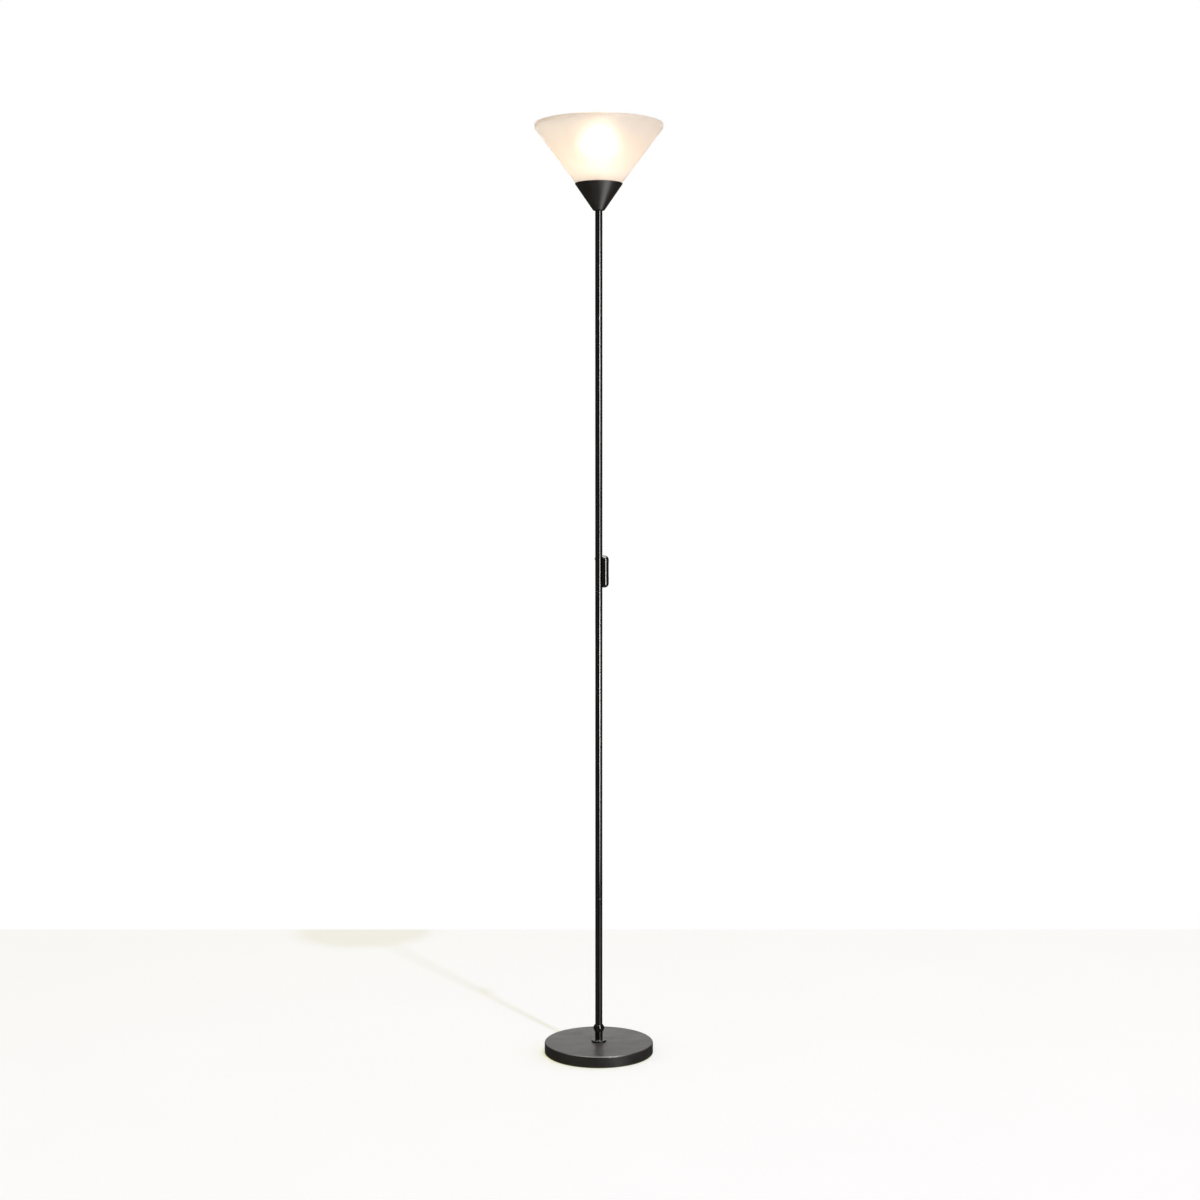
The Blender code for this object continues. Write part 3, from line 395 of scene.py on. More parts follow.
def block(low, high, grow=0.0):
    """A box. grow widens its +X face all round, for a cutter with sloping sides."""
    shape = bmesh.new()
    bmesh.ops.create_cube(shape, size=1.0)
    low, high = Vector(low), Vector(high)
    for vert in shape.verts:
        side = Vector(1 if part > 0 else -1 for part in vert.co)
        vert.co = [(start + end) / 2 + way * (end - start) / 2 for start, end, way in zip(low, high, side)]
        if side.x > 0:
            vert.co += Vector((0, side.y, side.z)) * grow
    return shape


def loaf(back, face, inset):
    """The switch's rounded block, shrunk by the inset. Its back edges stay square."""
    half_width, half_height = SWITCH_HALF_WIDTH - inset, SWITCH_HALF_HEIGHT - inset
    shape = block((back, -half_width, SWITCH_Z - half_height), (face, half_width, SWITCH_Z + half_height))
    edges = [edge for edge in shape.edges if any(vert.co.x > back + MM for vert in edge.verts)]
    bmesh.ops.bevel(shape, geom=edges, offset=SWITCH_ROUND - inset, segments=10, profile=0.5,
                    affect="EDGES")
    return shape


def wedges(inset):
    """Cutters for the switch block's back corners, along planes that are the inset further in."""
    half_width = SWITCH_BACK_HALF_WIDTH - inset * math.sqrt(2)
    made = []
    for side in (-1, 1):
        near, out = sorted((0, side * FAR))
        wedge = block((-FAR, near, -FAR), (FAR, out, FAR))
        turn = Matrix.Rotation(side * math.pi / 4, 4, "Z")
        wedge.transform(Matrix.Translation((SWITCH_BACK, side * half_width, SWITCH_Z)) @ turn)
        made.append(wedge)
    return made


def to_object(name, shape, sharp=35):
    """An object from a bmesh, which is used up. Smooth, except where faces meet at a sharp angle."""
    mesh = bpy.data.meshes.new(name)
    shape.to_mesh(mesh)
    shape.free()
    mesh.shade_smooth()
    mesh.set_sharp_from_angle(angle=math.radians(sharp))
    obj = bpy.data.objects.new(name, mesh)
    bpy.context.scene.collection.objects.link(obj)
    return obj


def applied(obj):
    """Gives obj the mesh that its modifiers make, and removes them."""
    bpy.context.view_layer.update()
    evaluated = obj.evaluated_get(bpy.context.evaluated_depsgraph_get())
    mesh = bpy.data.meshes.new_from_object(evaluated)
    obj.modifiers.clear()
    old, obj.data = obj.data, mesh
    bpy.data.meshes.remove(old)
    mesh.name = obj.name
    return obj


def combined(obj, tools, operation="DIFFERENCE", solver="EXACT"):
    """obj with each tool, a bmesh, cut from it or joined to it."""
    for tool in tools:
        helper = to_object(obj.name + "_tool", tool)
        modifier = obj.modifiers.new("combine", "BOOLEAN")
        modifier.operation, modifier.solver, modifier.object = operation, solver, helper
        applied(obj)
        bpy.data.objects.remove(helper, do_unlink=True)
    return obj


def loose(obj):
    """The mesh of obj as a bmesh, with the object itself taken away."""
    shape = bmesh.new()
    shape.from_mesh(obj.data)
    bpy.data.objects.remove(obj, do_unlink=True)
    return shape


def settled(obj, sharp=35):
    """Cleans up after Booleans, then weights the normals by face area so that flats stay flat."""
    shape = bmesh.new()
    shape.from_mesh(obj.data)
    bmesh.ops.remove_doubles(shape, verts=shape.verts, dist=WELD)
    bmesh.ops.dissolve_degenerate(shape, edges=shape.edges, dist=WELD)
    bmesh.ops.recalc_face_normals(shape, faces=shape.faces)
    shape.to_mesh(obj.data)
    shape.free()
    obj.data.shade_smooth()
    obj.data.set_sharp_from_angle(angle=math.radians(sharp))
    modifier = obj.modifiers.new("weights", "WEIGHTED_NORMAL")
    modifier.keep_sharp = True
    return applied(obj)


def place_piece(obj, node, slot, finishes, body="lamp"):
    """Puts a made object in the frame, in the stead of the CAD node it refines."""
    obj.name = obj.data.name = node + "_visual"
    obj.data.materials.clear()
    obj.data.materials.append(finishes[slot])
    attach(obj, body)
    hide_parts(node)


def place_turned(outline, node, slot, finishes, body="lamp", **turning):
    """Turns the outline and puts it in the frame as it is."""
    place_piece(to_object("turned", lathe(outline, **turning)), node, slot, finishes, body)


def thread_dip(height, pitch, angle):
    """How deep a right-hand thread lies under its crest there, from 0 to 1."""
    return 0.5 - 0.5 * math.cos(math.tau * height / pitch - angle)


def threaded(crest, depth, pitch, start, end):
    """A warp that presses a right-hand thread into a wall near the crest radius."""

    def warp(radius, height, angle):
        if not start < height < end or abs(radius - crest) > 0.9 * MM:
            return radius
        fade = min(1.0, (height - start) / pitch, (end - height) / pitch)
        return radius - depth * thread_dip(height, pitch, angle) * fade

    return warp


def wall_rows(radius, low, high, step):
    """Points up or down a straight wall, close enough together for a thread."""
    count = max(2, round(abs(high - low) / step))
    return [(radius, low + (high - low) * index / count) for index in range(count + 1)]


# ---- Pieces ----


def base_pieces(finishes):
    """The pressed cover, the pad under it and the gland in its back."""
    sheet, gland_place = 1.0 * MM, (0, 0, GLAND_HEIGHT)
    under, inner = BASE_TOP - sheet, BASE_RADIUS - sheet
    outline = [(NIPPLE_CLEAR, BASE_TOP), (16 * MM, BASE_TOP), (60 * MM, BASE_TOP - 0.3 * BASE_CROWN)]
    outline += [(BASE_RADIUS, BASE_TOP - BASE_CROWN), (BASE_RADIUS, BASE_HEM), (inner, BASE_HEM)]
    outline += [(inner, under), (NIPPLE_CLEAR, under)]
    corners = {0: 0.3 * MM, 3: BASE_ROUND, 4: 0.45 * MM, 5: 0.45 * MM, 6: 1.5 * MM}
    cover = to_object("cover", lathe(rounded(outline, corners, 10), ROUND))
    gland_hole = rod(4.6 * MM, 95 * MM, 115 * MM, 32, "Y", gland_place)
    place_piece(settled(combined(cover, [gland_hole])), "base_cover", "textured_black_coat", finishes)

    bore, radius, foot, top = 20 * MM, 104.3 * MM, 0.001 * MM, 3.6 * MM
    outline = [(bore, foot), (radius, foot), (radius, top), (bore, top)]
    outline = rounded(outline, {0: 0.8 * MM, 1: 1.2 * MM, 2: 0.6 * MM, 3: 0.6 * MM}, 4)
    place_turned(outline, "base_pad", "felt_pad", finishes, segments=ROUND)

    bore, groove, flange, collar = 2.4 * MM, 4.3 * MM, 5.4 * MM, 5.6 * MM
    outside, inside = BASE_RADIUS + GAP, inner - GAP
    back, front = inside - 1.2 * MM, outside + 1.5 * MM
    outline = [(bore, back), (flange, back), (flange, inside), (groove, inside), (groove, outside)]
    outline += [(collar, outside), (5.0 * MM, front), (bore, front)]
    corners = {0: 0.3 * MM, 1: 0.3 * MM, 5: 0.25 * MM, 6: 0.5 * MM, 7: 0.5 * MM}
    place_turned(rounded(outline, corners, 4), "cord_gland", "rubber", finishes, segments=MEDIUM,
                 along="Y", at=gland_place)


def collar_pieces(finishes):
    """The flanged sleeve on the base and the double-coned ring round its top."""
    low, neck, neck_top = BASE_TOP + GAP, 7.5 * MM, 45.0 * MM
    flange, flange_top = 14.5 * MM, 25.9 * MM
    outline = [(NIPPLE_CLEAR, low), (flange, low), (flange, flange_top), (neck, flange_top)]
    outline += [(neck, neck_top), (NIPPLE_CLEAR, neck_top)]
    corners = {1: 0.3 * MM, 2: 1.1 * MM, 3: 1.6 * MM, 4: 0.4 * MM}
    place_turned(rounded(outline, corners), "collar_sleeve", "gloss_black_coat", finishes)

    low, middle, high, half_band = 43.4 * MM, 49.75 * MM, 56.1 * MM, 1.2 * MM
    low_radius, radius, high_radius = 8.7 * MM, 11.1 * MM, 8.0 * MM
    neck_bore, pole_bore = neck + GAP, POLE_RADIUS + GAP
    outline = [(neck_bore, low), (low_radius, low), (radius, middle - half_band)]
    outline += [(radius, middle + half_band), (high_radius, high), (pole_bore, high)]
    outline += [(pole_bore, neck_top + GAP), (neck_bore, neck_top + GAP)]
    corners = {1: 0.5 * MM, 2: 1.0 * MM, 3: 1.0 * MM, 4: 0.35 * MM, 5: 0.2 * MM}
    place_turned(rounded(outline, corners), "collar_ring", "gloss_black_coat", finishes)


def pole_pieces(finishes):
    """The tubes. The one behind the switch has the lead's slot and the fixing screw's hole."""
    for number, (low, high) in enumerate(zip(POLE_ENDS, POLE_ENDS[1:]), start=1):
        low, high = low + GAP / 2, high - GAP / 2
        outline = [(POLE_BORE, low), (POLE_RADIUS, low), (POLE_RADIUS, high), (POLE_BORE, high)]
        corners = {0: 0.15 * MM, 1: 0.35 * MM, 2: 0.35 * MM, 3: 0.15 * MM}
        tube = to_object("tube", lathe(rounded(outline, corners, 5, 1.0)))
        if low < SWITCH_Z < high:
            slot = block((0, -LEAD_SLOT, LEAD_Z - 3.7 * MM), (10 * MM, LEAD_SLOT, LEAD_Z + 3.3 * MM))
            hole = rod(FIXING_HOLE, -10 * MM, 10 * MM, 24, "X", (0, 0, FIXING_Z))
            settled(combined(tube, [slot, hole]))
        place_piece(tube, f"pole_section_{number}", "black_coat", finishes)


def switch_base_piece(finishes):
    """The half of the case against the pole: a hollow shell with its fittings inside."""
    far_corner = (FAR, FAR, SWITCH_Z + FAR)
    base = to_object("base", loaf(SWITCH_BACK, SWITCH_FACE, 0))
    cheeks = block((LEAD_CHEEK_BACK, -SWITCH_BACK_HALF_WIDTH, LEAD_Z - 4.1 * MM),
                   (SWITCH_FLOOR, SWITCH_BACK_HALF_WIDTH, LEAD_Z + 3.7 * MM))
    combined(base, [cheeks], "UNION", "MANIFOLD")
    hollow = combined(to_object("hollow", loaf(SWITCH_FLOOR, FAR, SWITCH_WALL)), wedges(SWITCH_WALL))
    cuts = [block((SWITCH_SPLIT, -FAR, SWITCH_Z - FAR), far_corner), *wedges(0), loose(hollow),
            rod(POLE_RADIUS + GAP, SWITCH_Z - FAR, SWITCH_Z + FAR, FINE)]
    combined(base, cuts, solver="MANIFOLD")

    root, post_half_height, fixing_place = SWITCH_FLOOR - 0.5 * MM, 2.6 * MM, (0, 0, FIXING_Z)
    fittings = []
    for side in (-1, 1):
        near, out = sorted((side * 6.7 * MM, side * 8.3 * MM))
        fittings.append(block((root, near, SWITCH_Z - post_half_height),
                              (16.2 * MM, out, SWITCH_Z + post_half_height)))
    fittings.append(rod(3.4 * MM, root, 13 * MM, 32, "X", fixing_place))
    lip = to_object("lip", loaf(SWITCH_SPLIT - 0.3 * MM, FAR, SWITCH_WALL + 0.15 * MM))
    lip_inside = loaf(SWITCH_FLOOR, FAR, SWITCH_WALL + 0.8 * MM)
    lip_end = block((11.4 * MM, -FAR, SWITCH_Z - FAR), far_corner)
    fittings.append(loose(combined(lip, [lip_inside, lip_end], solver="MANIFOLD")))
    combined(base, fittings, "UNION", "MANIFOLD")

    bearing, half_notch, clear = 1.5 * MM, 1.3 * MM, 10 * MM
    cuts = [rod(bearing, -clear, clear, 32, "Y", ROCKER_AXIS),
            block((ROCKER_AXIS.x, -clear, SWITCH_Z - half_notch),
                  (20 * MM, clear, SWITCH_Z + half_notch)),
            rod(FIXING_HOLE, 0, 20 * MM, 24, "X", fixing_place),
            block((0, -LEAD_SLOT, LEAD_Z - 2.5 * MM), (SWITCH_FLOOR + MM, LEAD_SLOT, LEAD_Z + 2.5 * MM))]
    for y, height in CASE_SCREWS:
        place = (0, y, SWITCH_Z + height)
        head_recess = rod(2.1 * MM, 0, 8.3 * MM, 32, "X", place)
        shank_hole = rod(1.3 * MM, 0, 20 * MM, 24, "X", place)
        cuts += [head_recess, shank_hole]
    combined(base, cuts, solver="MANIFOLD")
    place_piece(settled(base), "switch_base", "black_plastic", finishes)


def switch_cover_piece(finishes):
    """The outer half of the case, with the rocker's opening and a boss for each case screw."""
    cover = to_object("cover", loaf(SWITCH_BACK, SWITCH_FACE, 0))
    cuts = [block((0, -FAR, SWITCH_Z - FAR), (SWITCH_SPLIT + 0.2 * MM, FAR, SWITCH_Z + FAR)),
            loaf(5 * MM, SWITCH_FACE - SWITCH_WALL, SWITCH_WALL)]
    half_height, half_width = 15.45 * MM, 6.35 * MM
    cuts.append(block((15 * MM, -half_width, SWITCH_Z - half_height),
                      (25 * MM, half_width, SWITCH_Z + half_height)))
    cuts.append(block((SWITCH_FACE - 0.4 * MM, -half_width, SWITCH_Z - half_height),
                      (SWITCH_FACE + 0.2 * MM, half_width, SWITCH_Z + half_height), grow=0.6 * MM))
    combined(cover, cuts, solver="MANIFOLD")
    bosses, pilots = [], []
    mid_wall = SWITCH_WALL / 2
    for y, height in CASE_SCREWS:
        place = (0, y, SWITCH_Z + height)
        boss = to_object("boss", rod(2.3 * MM, SWITCH_SPLIT + 0.4 * MM, SWITCH_FACE, 32, "X", place))
        combined(boss, [loaf(SWITCH_BACK, SWITCH_FACE - mid_wall, mid_wall)], "INTERSECT")
        bosses.append(loose(boss))
        pilots.append(rod(1.25 * MM, 0, 15.5 * MM, 24, "X", place))
    combined(cover, bosses, "UNION", "MANIFOLD")
    combined(cover, pilots, solver="MANIFOLD")
    place_piece(settled(cover), "switch_cover", "black_plastic", finishes)


def rocker_piece(finishes):
    """The rocker with its trunnions, tilted as the CAD model has it at rest."""
    half_length, half_width, back, face = 15.0 * MM, 6.0 * MM, 16.2 * MM, 17.9 * MM
    dish, steps = 0.5 * MM, 16
    outline = [(back, SWITCH_Z - half_length)]
    for step in range(steps + 1):
        along = 2 * step / steps - 1
        outline.append((face + dish * along * along, SWITCH_Z + half_length * along))
    outline.append((back, SWITCH_Z + half_length))
    shape = bmesh.new()
    wall = shape.faces.new([shape.verts.new((x, -half_width, z)) for x, z in outline])
    grown = bmesh.ops.extrude_face_region(shape, geom=[wall])
    moved = [item for item in grown["geom"] if isinstance(item, bmesh.types.BMVert)]
    bmesh.ops.translate(shape, verts=moved, vec=(0, 2 * half_width, 0))
    bmesh.ops.recalc_face_normals(shape, faces=shape.faces)
    edges = [edge for edge in shape.edges
             if all(vert.co.x > 17 * MM for vert in edge.verts) and edge.calc_face_angle(0) > 1.0]
    bmesh.ops.bevel(shape, geom=edges, offset=0.6 * MM, segments=5, profile=0.5, affect="EDGES")
    rocker, middle = to_object("rocker", shape), (0, 0, SWITCH_Z)
    trunnions = rod(1.4 * MM, -8.4 * MM, 8.4 * MM, 32, "Y", ROCKER_AXIS)
    spring_seat = rod(2.6 * MM, 14 * MM, 17 * MM, 32, "X", middle)
    combined(rocker, [trunnions, spring_seat], "UNION")
    settled(combined(rocker, [rod(1.75 * MM, 12 * MM, 17.2 * MM, 28, "X", middle)]))
    turn = Matrix.Rotation(ROCKER_TILT, 4, "Y")
    rocker.data.transform(Matrix.Translation(ROCKER_AXIS) @ turn @ Matrix.Translation(-ROCKER_AXIS))
    place_piece(rocker, "switch_rocker", "black_plastic", finishes, "rocker")


def pan_screw(head_radius, head, shank_radius, length, at, slot_width):
    """A cross-recessed pan-head screw along +X. Its head's underside is at its place."""
    pitch, depth, plain = 0.7 * MM, 0.22 * MM, 0.4 * MM
    outline = [(0, -head), (head_radius, -head), (head_radius, 0), (shank_radius, 0)]
    outline = rounded(outline, {1: min(0.75 * head, 0.7 * head_radius)}, 8)
    count = round(length / (pitch / 6))
    outline += [(shank_radius, length * step / count) for step in range(1, count + 1)]
    outline += [(0.0, length + 0.3 * MM)]

    def thread(radius, height, angle):
        if height < plain or radius < shank_radius * 0.9:
            return radius
        fade = min(1.0, (height - plain) / pitch)
        return radius - depth * thread_dip(height, pitch, angle) * fade

    screw = to_object("screw", lathe(outline, 48, "X", at, thread))
    top, half_slot, half_arm = at[0] - head, slot_width / 2, 0.52 * head_radius
    arms = []
    for across, up in ((half_arm, half_slot), (half_slot, half_arm)):
        arms.append(block((top - 0.2 * MM, at[1] - across, at[2] - up),
                          (top + 0.6 * head, at[1] + across, at[2] + up)))
    return settled(combined(screw, arms), 40)


def screw_pieces(finishes):
    """Two screws that hold the switch's case together, and one through the pole that fixes it."""
    for number, (y, height) in enumerate(CASE_SCREWS, start=1):
        place = (8.0 * MM, y, SWITCH_Z + height)
        screw = pan_screw(head_radius=1.8 * MM, head=1.0 * MM, shank_radius=1.0 * MM, length=6.1 * MM,
                          at=place, slot_width=0.6 * MM)
        place_piece(screw, f"switch_case_screw_{number}", "zinc_steel", finishes)
    place = (-POLE_RADIUS - GAP, 0, FIXING_Z)
    screw = pan_screw(head_radius=2.6 * MM, head=0.6 * MM, shank_radius=1.5 * MM, length=19.2 * MM,
                      at=place, slot_width=0.75 * MM)
    place_piece(screw, "switch_fixing_screw", "black_steel", finishes)


def cup_piece(finishes):
    """The conical cup, with a wall of even thickness."""
    low, low_radius, rim, rim_radius, wall = 1637.2 * MM, 10.8 * MM, 1688.0 * MM, 46.0 * MM, 1.2 * MM
    slope = (rim_radius - low_radius) / (rim - low)
    across = wall * math.hypot(1, slope)
    floor = low + 1.8 * MM
    inner_low = low_radius + (floor - low) * slope - across
    outline = [(NIPPLE_CLEAR, low), (low_radius, low), (rim_radius, rim), (rim_radius - across, rim)]
    outline += [(inner_low, floor), (NIPPLE_CLEAR, floor)]
    corners = {1: 0.8 * MM, 2: 0.35 * MM, 3: 0.35 * MM, 4: 1.0 * MM}
    place_turned(rounded(outline, corners, 6, 1.5), "shade_cup", "satin_black_coat", finishes,
                 segments=ROUND)


def shade_pieces(finishes):
    """The shade, a cone that turns upright in a short lip, and the knurled ring that holds it."""
    hole, slope, wall = 20.1 * MM, 0.755, 2.0 * MM
    floor, floor_top = 1671.5 * MM, 1673.9 * MM
    lip, lip_radius, rim, rim_radius = 1792.9 * MM, 122.4 * MM, 1800.0 * MM, 123.38 * MM
    low_radius = lip_radius - (lip - floor) * slope
    inner_low = low_radius + (floor_top - floor) * slope - wall * math.hypot(1, slope)
    outline = [(hole, floor), (low_radius, floor), (lip_radius, lip), (rim_radius, rim)]
    outline += [(rim_radius - wall, rim), (lip_radius - wall, lip + 0.4 * MM), (inner_low, floor_top)]
    outline += [(hole, floor_top)]
    corners = {0: 0.4 * MM, 1: 2.0 * MM, 2: 6.0 * MM, 3: 0.95 * MM, 4: 0.95 * MM, 5: 5.0 * MM}
    corners.update({6: 1.0 * MM, 7: 0.4 * MM})
    place_turned(rounded(outline, corners, 8, 1.0), "shade", "frosted_shade", finishes, segments=ROUND)

    low, radius, knurls = floor_top + GAP, 26.0 * MM, 48
    high = low + 9.0 * MM
    outline = [(hole, low), (radius, low), (radius, high), (hole, high)]
    corners = {0: 0.4 * MM, 1: 0.6 * MM, 2: 1.2 * MM, 3: 0.8 * MM}

    def knurled(reach, height, angle):
        if reach < radius - 0.4 * MM:
            return reach
        return reach - 0.3 * MM * (1 - math.cos(knurls * angle))

    place_turned(rounded(outline, corners, 5), "shade_ring", "holder_plastic", finishes,
                 segments=6 * knurls, warp=knurled)


def lampholder_pieces(finishes):
    """The skirt, threaded outside for the shade's ring, and the screw shell for the bulb's cap."""
    low, shoulder, thread_top, top = 1668.3 * MM, 1671.2 * MM, 1692.0 * MM, 1711.0 * MM
    bore, radius, flange = 15.5 * MM, 19.6 * MM, 22.5 * MM
    outline = [(bore, low), (flange, low), (flange, shoulder), (radius, shoulder)]
    outline = rounded(outline, {1: 0.5 * MM, 2: 0.5 * MM}, 4)
    outline += wall_rows(radius, shoulder + 0.4 * MM, thread_top, 0.4 * MM)
    tail = [(radius - 1.0 * MM, thread_top + 1.0 * MM), (radius - 1.6 * MM, top), (bore, top)]
    outline += rounded([(radius, thread_top), *tail, (bore, low)], {2: 0.7 * MM, 3: 0.5 * MM}, 4)[1:-1]
    thread = threaded(radius, 0.375 * MM, 2.6 * MM, shoulder + 1.0 * MM, thread_top)
    place_turned(outline, "lampholder_skirt", "holder_plastic", finishes, warp=thread)

    low, top, inner, wall, step = 1681.8 * MM, 1706.0 * MM, 14.35 * MM, 0.35 * MM, 0.3 * MM
    outline = wall_rows(inner, low, top, step) + wall_rows(inner + wall, top, low, step)
    thread = threaded(inner, CAP_THREAD, CAP_PITCH, low + 1.2 * MM, top)
    place_turned(outline, "screw_shell", "brass", finishes, warp=thread)


def bulb_pieces(finishes):
    """The globe, a part of a sphere, and the housing that widens up to it."""
    edge, steps, wall = math.asin((BULB_SPLIT - BULB_CENTRE) / BULB_RADIUS), 40, 1.2 * MM
    outer, inner = [], []
    for step in range(steps + 1):
        angle = edge + (math.pi / 2 - edge) * step / steps
        for side, radius in ((outer, BULB_RADIUS), (inner, BULB_RADIUS - wall)):
            reach = radius * math.cos(angle) if step < steps else 0.0
            side.append((reach, BULB_CENTRE + radius * math.sin(angle)))
    place_turned(outer + inner[::-1], "bulb_globe", "opal_globe", finishes, "bulb")

    wall, mouth = 1.4 * MM, (BULB_RADIUS * math.cos(edge), BULB_SPLIT - GAP)
    knots = [(13.6, 1708.8), (14.0, 1712.0), (14.9, 1716.0), (16.4, 1720.5), (18.5, 1726.0)]
    knots += [(20.9, 1732.0), (23.2, 1738.0), (24.4, 1742.0)]
    outer = [(radius * MM, height * MM) for radius, height in knots] + [mouth]
    inner = [(radius - wall, height) for radius, height in reversed(outer)]
    housing = to_object("housing", lathe(outer + inner), 60)
    # The housing takes the white plastic finish, which carries a painted glow
    place_piece(housing, "bulb_housing", "white_plastic", finishes, "bulb")


def bulb_contact_pieces(finishes):
    """The threaded cap with the insulator and the contact at its end."""
    low, top, radius, wall, step = 1689.5 * MM, 1708.5 * MM, 13.1 * MM, 0.5 * MM, 0.3 * MM
    wall_low = low + 1.3 * MM
    outline = [(11.2 * MM, low), (12.2 * MM, low), (radius - 0.2 * MM, low + 1.0 * MM)]
    outline += wall_rows(radius, wall_low, top, step) + wall_rows(radius - wall, top, wall_low, step)
    thread = threaded(radius, CAP_THREAD, CAP_PITCH, low + 1.4 * MM, top - 2.5 * MM)
    place_turned(outline, "bulb_cap", "aluminium", finishes, "bulb", warp=thread)

    tip, tip_radius = 1684.0 * MM, 4.6 * MM
    low, high = tip + 1.8 * MM, 1689.2 * MM
    outline = [(0, low), (5.4 * MM, low), (11.4 * MM, high), (0, high)]
    outline = rounded(outline, {1: 0.8 * MM, 2: 0.3 * MM}, 6)
    place_turned(outline, "bulb_insulator", "vitrite", finishes, "bulb")
    outline = [(0, tip), (3.4 * MM, tip + 0.05 * MM), (tip_radius, tip + 0.8 * MM)]
    outline += [(tip_radius, low - GAP), (0, low - GAP)]
    outline = rounded(outline, {1: 0.8 * MM, 2: 0.5 * MM}, 5)
    place_turned(outline, "bulb_tip", "zinc_steel", finishes, "bulb", segments=MEDIUM)


# CAD nodes that keep their own mesh, by finish
CARRIED = {
    "concrete": ["base_weight"],
    "zinc_steel": ["base_nipple", "base_washer", "base_nut", "pole_foot_insert", "pole_coupler_1",
                   "pole_coupler_2", "pole_coupler_3", "pole_top_insert", "rocker_spring",
                   "rocker_plunger", "terminal_screw_1", "terminal_screw_2", "head_nipple",
                   "head_nut", "holder_screw_1", "holder_screw_2"],
    "cable_sheath": ["lead_lower", "lead_upper"],
    "brass": ["contact_lever", "terminal_in", "terminal_out", "centre_contact"],
    "holder_plastic": ["lampholder_cap"],
    "ceramic": ["lampholder_core"],
    "aluminium": ["bulb_led_board"],
    "circuit_board": ["bulb_driver_board"],
}


def carry_over(finishes):
    """Gives the CAD meshes that stay their finishes."""
    for slot, names in CARRIED.items():
        for name in names:
            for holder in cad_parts[name].material_slots:
                holder.material = finishes[slot]


# ---- Studio ----


def make_camera():
    data = bpy.data.cameras.new("camera")
    data.lens = 58.128
    camera = bpy.data.objects.new("camera", data)
    below_level = 3.3535
    camera.location = (0.0023, -3.747, 1.1097)
    camera.rotation_euler = (math.radians(90 - below_level), 0, 0)
    bpy.context.scene.collection.objects.link(camera)
    bpy.context.scene.camera = camera


def area_light(name, place, target, width, height, watts, colour):
    data = bpy.data.lights.new(name, "AREA")
    data.shape, data.size, data.size_y = "RECTANGLE", width, height
    data.energy, data.color = watts, colour
    light = bpy.data.objects.new(name, data)
    light.location = place
    light.rotation_euler = (Vector(target) - Vector(place)).to_track_quat("-Z", "Y").to_euler()
    light.visible_camera = False
    bpy.context.scene.collection.objects.link(light)
    return light


def make_world():
    """White to the camera. Gloss sees a dark studio with a bright ceiling, a faint card at the front
    left, a bright patch low on the right and a lit strip of floor at the softbox's foot. Anything
    else gets an even soft light, yellower from the left."""
    world = bpy.data.worlds.new("studio")
    bpy.context.scene.world = world
    graph = Graph(world)
    world.cycles.sampling_method = "NONE"
    path = graph.add("LightPath")
    way = graph.add("TexCoord").outputs["Generated"]
    x, y, z = graph.add("SeparateXYZ", way).outputs
    azimuth = graph.math("ARCTAN2", x, graph.math("MULTIPLY", y, -1.0))

    def beside(bearing, near, far, level, smooth):
        """The level, round a bearing from the front, that fades out between two angles off it."""
        off = graph.math("ABSOLUTE", graph.math("SUBTRACT", azimuth, math.radians(bearing)))
        return graph.span(off, math.radians(near), math.radians(far), level, 0.0, smooth)

    left = beside(-46, 8, 26, 0.16, smooth=True)
    ceiling = graph.span(z, 0.78, 0.93, 0.0, 14.0, smooth=True)
    towards_patch = (0.593, -0.283, -0.756)
    nearness = graph.add("VectorMath", way, towards_patch, operation="DOT_PRODUCT").outputs["Value"]
    patch = graph.span(nearness, 0.97, 0.997, 0.0, 4.6, smooth=True)
    strip = graph.math("MULTIPLY", graph.span(z, -0.2823, -0.2756), graph.span(z, -0.20, -0.215))
    strip = graph.math("MULTIPLY", strip, beside(41, 7, 11, 3.0, smooth=False))
    gloss = 0.05
    for part in (left, ceiling, patch, strip):
        gloss = graph.math("ADD", gloss, part)
    soft = graph.mix(graph.span(x, -1.0, 1.0), (0.74, 0.62, 0.34), (0.72, 0.70, 0.89))
    gloss_light = graph.add("Background", (1, 1, 1), gloss)
    soft_light = graph.add("Background", soft, 0.9)
    white = graph.add("Background", (1, 1, 1), 1.0)
    lit = graph.add("MixShader", path.outputs["Is Glossy Ray"], soft_light, gloss_light)
    seen = graph.add("MixShader", path.outputs["Is Camera Ray"], lit, white)
    graph.feed(graph.add("OutputWorld").inputs["Surface"], seen)


def quad(name, corners):
    """A flat card from its four corners."""
    shape = bmesh.new()
    shape.faces.new([shape.verts.new(corner) for corner in corners])
    return to_object(name, shape)


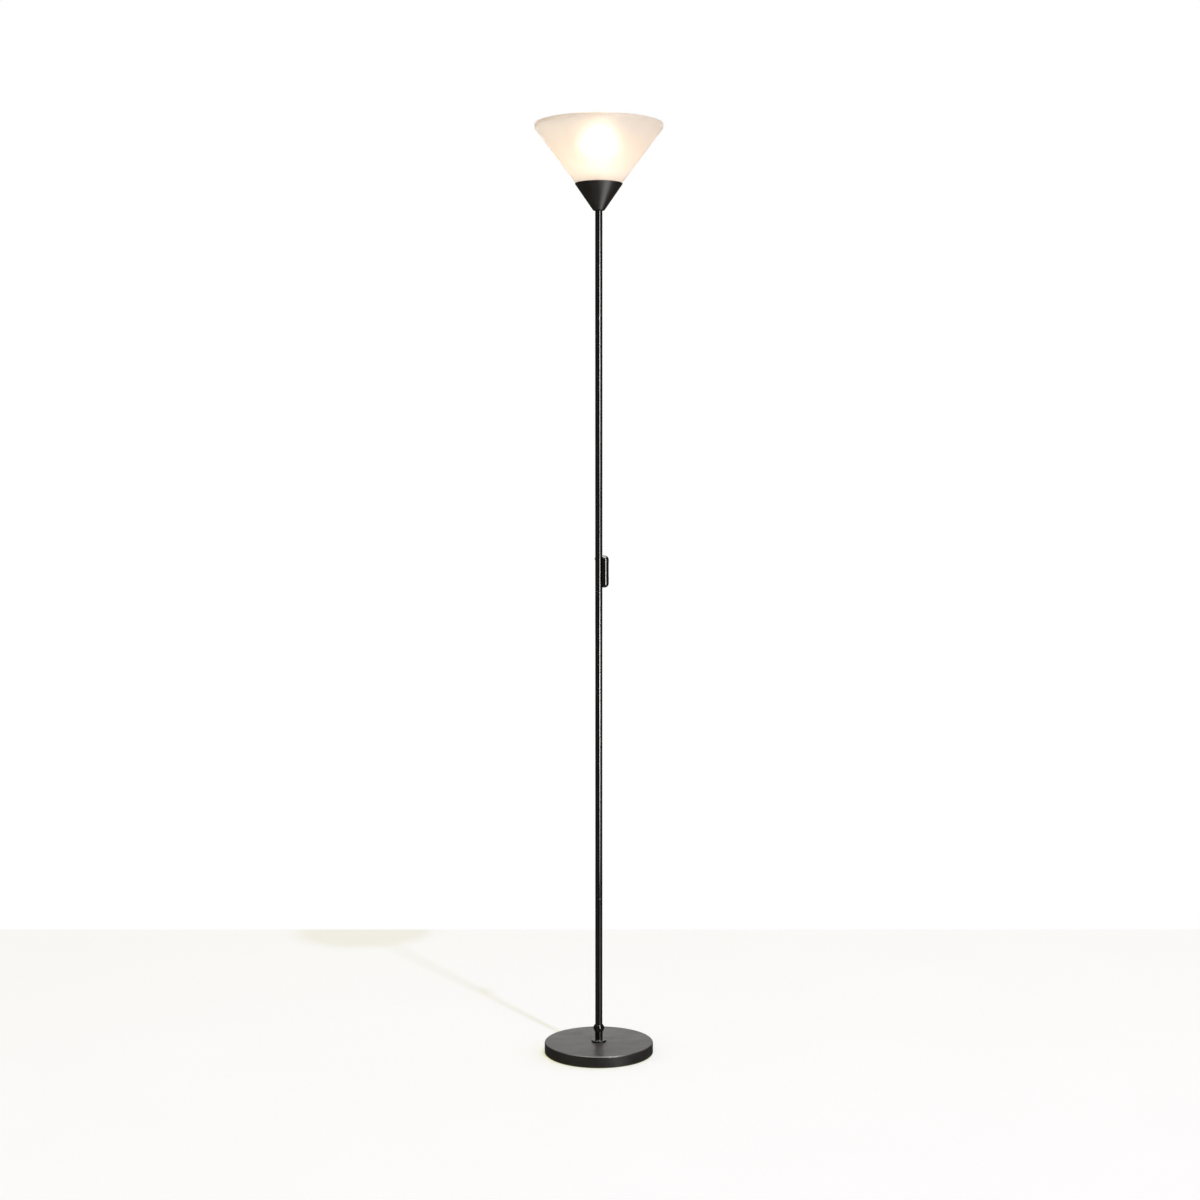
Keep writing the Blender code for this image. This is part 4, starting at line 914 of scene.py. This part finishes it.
def make_softbox():
    """A tall strip light at the front right, brighter in two bands, that only gloss sees."""
    reach, turn, half_width, low, high = 1.5, math.radians(34), 0.15, 0.02, 2.3
    across = Vector((math.cos(turn), math.sin(turn), 0)) * half_width
    foot = Vector((reach * math.sin(turn), -reach * math.cos(turn), low))
    up = Vector((0, 0, high - low))
    card = quad("softbox", (foot - across, foot + across, foot + across + up, foot - across + up))
    graph = new_finish("softbox")
    ramp = graph.add("ValToRGB", graph.span(graph.height(), low, high))
    stops = [(low, 0.11), (0.36, 0.64), (0.53, 0.90), (0.70, 0.82), (0.96, 0.33), (1.07, 0.29),
             (1.25, 0.54), (1.48, 0.72), (1.70, 0.60), (1.90, 0.22), (high, 0.20)]
    elements = ramp.color_ramp.elements
    for height, level in stops[1:-1]:
        elements.new((height - low) / (high - low))
    for element, (height, level) in zip(elements, stops):
        element.color = (level, level, level, 1)
    brightest = 66.0
    light = graph.add("Emission", (1.0, 0.99, 0.97), graph.math("MULTIPLY", ramp.outputs[0], brightest))
    card.data.materials.append(graph.finish(light))
    card.visible_camera = card.visible_diffuse = card.visible_transmission = card.visible_shadow = False


def make_floor():
    """Pale paper that ends at a line behind the lamp. Its own yellowish light fills the shadows."""
    side, far_edge = 9.0, 1.058
    floor = quad("floor", ((-side, -side, 0), (side, -side, 0), (side, far_edge, 0), (-side, far_edge, 0)))
    graph = new_finish("floor")
    fine = graph.span(graph.noise(3, 2), 0.3, 0.7)
    paper = graph.add("BsdfDiffuse", graph.mix(fine, (0.485, 0.49, 0.845), (0.495, 0.50, 0.855)))
    wash = graph.add("Emission", (0.554, 0.562, 0.293), 1.0)
    floor.data.materials.append(graph.finish(graph.add("AddShader", paper, wash)))
    floor.visible_glossy = False


def make_key():
    """A small hard light, high at the front right."""
    turn, rise, reach, size = math.radians(29.5), math.radians(64), 7.6, 0.17
    level = reach * math.cos(rise)
    place = (level * math.sin(turn), -level * math.cos(turn), reach * math.sin(rise))
    key = area_light("key", place, (0, 0, 0.8), size, size, 142, (0.93, 0.97, 1.0))
    key.visible_glossy = False


def make_back_card():
    """A low light behind the lamp, for the sheen on the base's top. Matt surfaces don't take it."""
    card = area_light("back_card", (0, 1.6, 0.36), (0, 0, 0), 1.6, 0.70, 3.5, (1, 1, 1))
    card.visible_diffuse = False


def make_mouth_light():
    """Fills the shade evenly from its mouth, as light scattered by the ceiling does."""
    light = area_light("mouth", (0, 0, 1.799), (0, 0, 1.7), 0.20, 0.20, 0.03, (1.0, 0.90, 0.80))
    light.data.shape = "DISK"
    light.visible_glossy = light.visible_transmission = False


def make_studio():
    make_camera()
    make_world()
    make_softbox()
    make_floor()
    make_key()
    make_back_card()
    make_mouth_light()
    bpy.context.scene.view_settings.view_transform = "Standard"


def main():
    make_studio()
    finishes = make_finishes()
    base_pieces(finishes)
    collar_pieces(finishes)
    pole_pieces(finishes)
    switch_base_piece(finishes)
    switch_cover_piece(finishes)
    rocker_piece(finishes)
    screw_pieces(finishes)
    cup_piece(finishes)
    shade_pieces(finishes)
    lampholder_pieces(finishes)
    bulb_pieces(finishes)
    bulb_contact_pieces(finishes)
    carry_over(finishes)


main()
